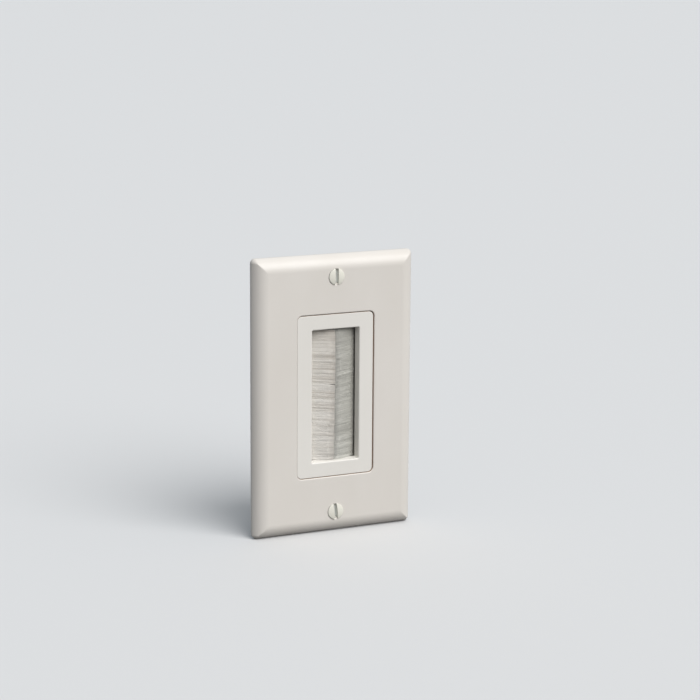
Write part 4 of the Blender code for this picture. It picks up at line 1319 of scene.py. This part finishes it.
def filament_lines(side, root_z, layer, rng):
    """Middle lines (filaments, rings, 3) and each ring's share of length."""
    tuft_z = np.sort(rng.uniform(-ROOT_HALF, ROOT_HALF, TUFTS))
    own = np.abs(root_z[:, None] - tuft_z[None, :]).argmin(axis=1)
    pull = rng.uniform(0.0, PULL_MOST, TUFTS)[own] * np.abs(2 * layer - 1)
    lean = wander(rng.normal(0, LEAN_SPREAD, TUFTS), root_z)
    push = wander(rng.normal(0, PUSH_SPREAD, 2 * TUFTS), root_z)
    uneven = np.abs(rng.normal(0, LENGTH_SPREAD, FILAMENTS)) - CROSSING * layer
    end = 1.0 - uneven - (TIP_GAP + side * wander(seam_x, root_z)) / BRUSH_REACH
    s = np.where(RING_PLACES > 0, RING_PLACES * end[:, None], RING_PLACES)
    grown = np.clip(s, 0, None)

    rise = risen(grown) * (1 - HELD_BACK * hold(PASSAGE - np.abs(root_z), DROOP_EASE))[:, None]
    front = FRONT_START_Y - FRONT_RISE * rise
    rear = REAR_START_Y - REAR_RISE * rise
    y = front + (rear - front) * layer[:, None]
    y += (push[:, None] + rng.normal(0, DEPTH_SPREAD, (FILAMENTS, 1)) + side * SIDE_DEPTH) * grown

    drift = pull * (tuft_z[own] - root_z) + lean + rng.normal(0, DRIFT_SPREAD, FILAMENTS)
    bow = rng.normal(0, BOW_SPREAD, FILAMENTS)
    z = root_z[:, None] + drift[:, None] * grown**DRIFT_POWER + bow[:, None] * np.sin(np.pi * grown)
    z = drawn_in(np.clip(z, -ROOT_HALF, ROOT_HALF), y)
    z -= DROOP * grown**3 * (1 - hold(PASSAGE - np.abs(z), DROOP_EASE))
    z -= SAG * grown * hold(PASSAGE + z, SAG_EASE)
    return np.stack([side * (MOUTH_X - BRUSH_REACH * s), y, z], axis=-1), grown


# %% Tone of each filament
MIDDLE_TONE = 0.55
BROAD_STREAKS = (34, 0.14)    # how many along the row, and how strong
THIN_STREAKS = (150, 0.20)
THIN_SKEW = 0.6               # the larger it is, the fewer and darker the thin streaks are
OWN_SPREAD = 0.12
# Painted light where the window's lower wall throws light up, and a painted shadow under its upper edge.
LOWER_PAINTED_LIGHT = (0.45, 4.0 * MM)     # painted light at the lower end: how much, and how fast it dies away
UPPER_PAINTED_SHADOW = (0.35, 3.5 * MM)


def filament_tone(root_z, rng):
    """0 to 1: broad even streaks, thin dark ones, painted light at the lower end, a painted shadow at the
    upper end, and its own bit.
    """
    broad = wander(rng.normal(0, 1, BROAD_STREAKS[0]), root_z)
    thin = wander(np.exp(rng.normal(0, THIN_SKEW, THIN_STREAKS[0])) - 1, root_z)
    streaks = BROAD_STREAKS[1] * broad - THIN_STREAKS[1] * thin
    # painted light at the lower end and a painted shadow at the upper end
    lower = LOWER_PAINTED_LIGHT[0] * hold(PASSAGE + root_z, LOWER_PAINTED_LIGHT[1])
    upper = UPPER_PAINTED_SHADOW[0] * hold(PASSAGE - root_z, UPPER_PAINTED_SHADOW[1])
    own = rng.normal(0, OWN_SPREAD, FILAMENTS)
    return np.clip(MIDDLE_TONE + streaks + lower - upper + own, 0, 1)


# %% Tubes round the middle lines
SPIN_STEP = 0.7548776662      # turn from one tube to the next, which never repeats
TIP_SHARE = 0.92              # radius at the tip as a share of the radius at the root


def tube_points(lines):
    """Three points round each ring: middle + r (cos a, sin a) in the plane square to the filament."""
    count, rings = lines.shape[:2]
    heading = np.gradient(lines, axis=1)
    heading /= np.linalg.norm(heading, axis=-1, keepdims=True)
    sideways = np.cross(heading, [0.0, 0.0, 1.0])
    sideways /= np.linalg.norm(sideways, axis=-1, keepdims=True)
    other = np.cross(sideways, heading)
    spin = (np.arange(count)[:, None, None] * SPIN_STEP + np.arange(3)) * 2 * np.pi / 3
    slim = np.linspace(1.0, TIP_SHARE, rings)[None, :, None, None]
    ring = np.cos(spin)[..., None] * sideways[:, :, None] + np.sin(spin)[..., None] * other[:, :, None]
    return lines[:, :, None] + FILAMENT_RADIUS * slim * ring


def tube_faces(count, rings):
    """The four corners of each side face, and the three of each end face, for all tubes at once."""
    first = (np.arange(count) * rings * 3)[:, None]
    quads = (first[:, :, None] + grid_faces(rings, 3, False)[None]).reshape(-1, 4)
    ends = np.concatenate([first + [0, 2, 1], first + (rings - 1) * 3 + [0, 1, 2]])
    return quads, ends


# %% Arrays straight into a mesh


def tube_mesh(name, points, quads, triangles):
    """Points, quads and triangles put into a mesh as flat arrays."""
    mesh = bpy.data.meshes.new(name)
    mesh.vertices.add(len(points))
    mesh.vertices.foreach_set("co", points.astype(np.float32).ravel())
    corners = np.concatenate([quads.ravel(), triangles.ravel()]).astype(np.int32)
    mesh.loops.add(len(corners))
    mesh.loops.foreach_set("vertex_index", corners)
    starts = np.concatenate([np.arange(len(quads)) * 4, len(quads) * 4 + np.arange(len(triangles)) * 3])
    mesh.polygons.add(len(starts))
    mesh.polygons.foreach_set("loop_start", starts.astype(np.int32))
    mesh.update(calc_edges=True)
    mesh.polygons.foreach_set("use_smooth", np.arange(len(starts)) < len(quads))
    return in_scene(name, mesh)


def add_numbers(made, label, values):
    """One number at each point, which a material reads by its label."""
    attribute = made.data.attributes.new(label, "FLOAT", "POINT")
    attribute.data.foreach_set("value", values.astype(np.float32))


# %% Both brushes
SEEDS = {"left": 3, "right": 7}
BRUSH_FINISHES = {"left": left_filament_painted_light, "right": right_filament_painted_shade}

for hand, side in HANDS:
    rng = np.random.default_rng(SEEDS[hand])
    root_z, layer = rooted(rng)
    lines, along = filament_lines(side, root_z, layer, rng)
    tone = filament_tone(root_z, rng)
    quads, ends = tube_faces(*lines.shape[:2])
    brush = tube_mesh(f"{hand}_filaments", tube_points(lines).reshape(-1, 3), quads, ends)
    add_numbers(brush, "tone", np.repeat(tone, lines.shape[1] * 3))
    add_numbers(brush, "along", np.repeat(along.ravel(), 3))
    put_in_place(brush, f"{hand}_bristles", BRUSH_FINISHES[hand])

# %% [markdown]
# ## Pieces whose shape is right already
#
# The folded channels, the wires inside them and the fibre retainers are simple, and little of them
# shows. Their CAD meshes stay and get only their finish.

# %% Finishes for the carried-over pieces
CARRIED_OVER = {
    "left_brush_channel": galvanised_strip,
    "right_brush_channel": galvanised_strip,
    "left_core_wire": steel_wire,
    "right_core_wire": steel_wire,
    "upper_screw_retainer": retainer_fibre,
    "lower_screw_retainer": retainer_fibre,
}

for node, material in CARRIED_OVER.items():
    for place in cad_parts[node].material_slots:
        place.material = material
print(len(CARRIED_OVER), "pieces keep the shape of the packed model")
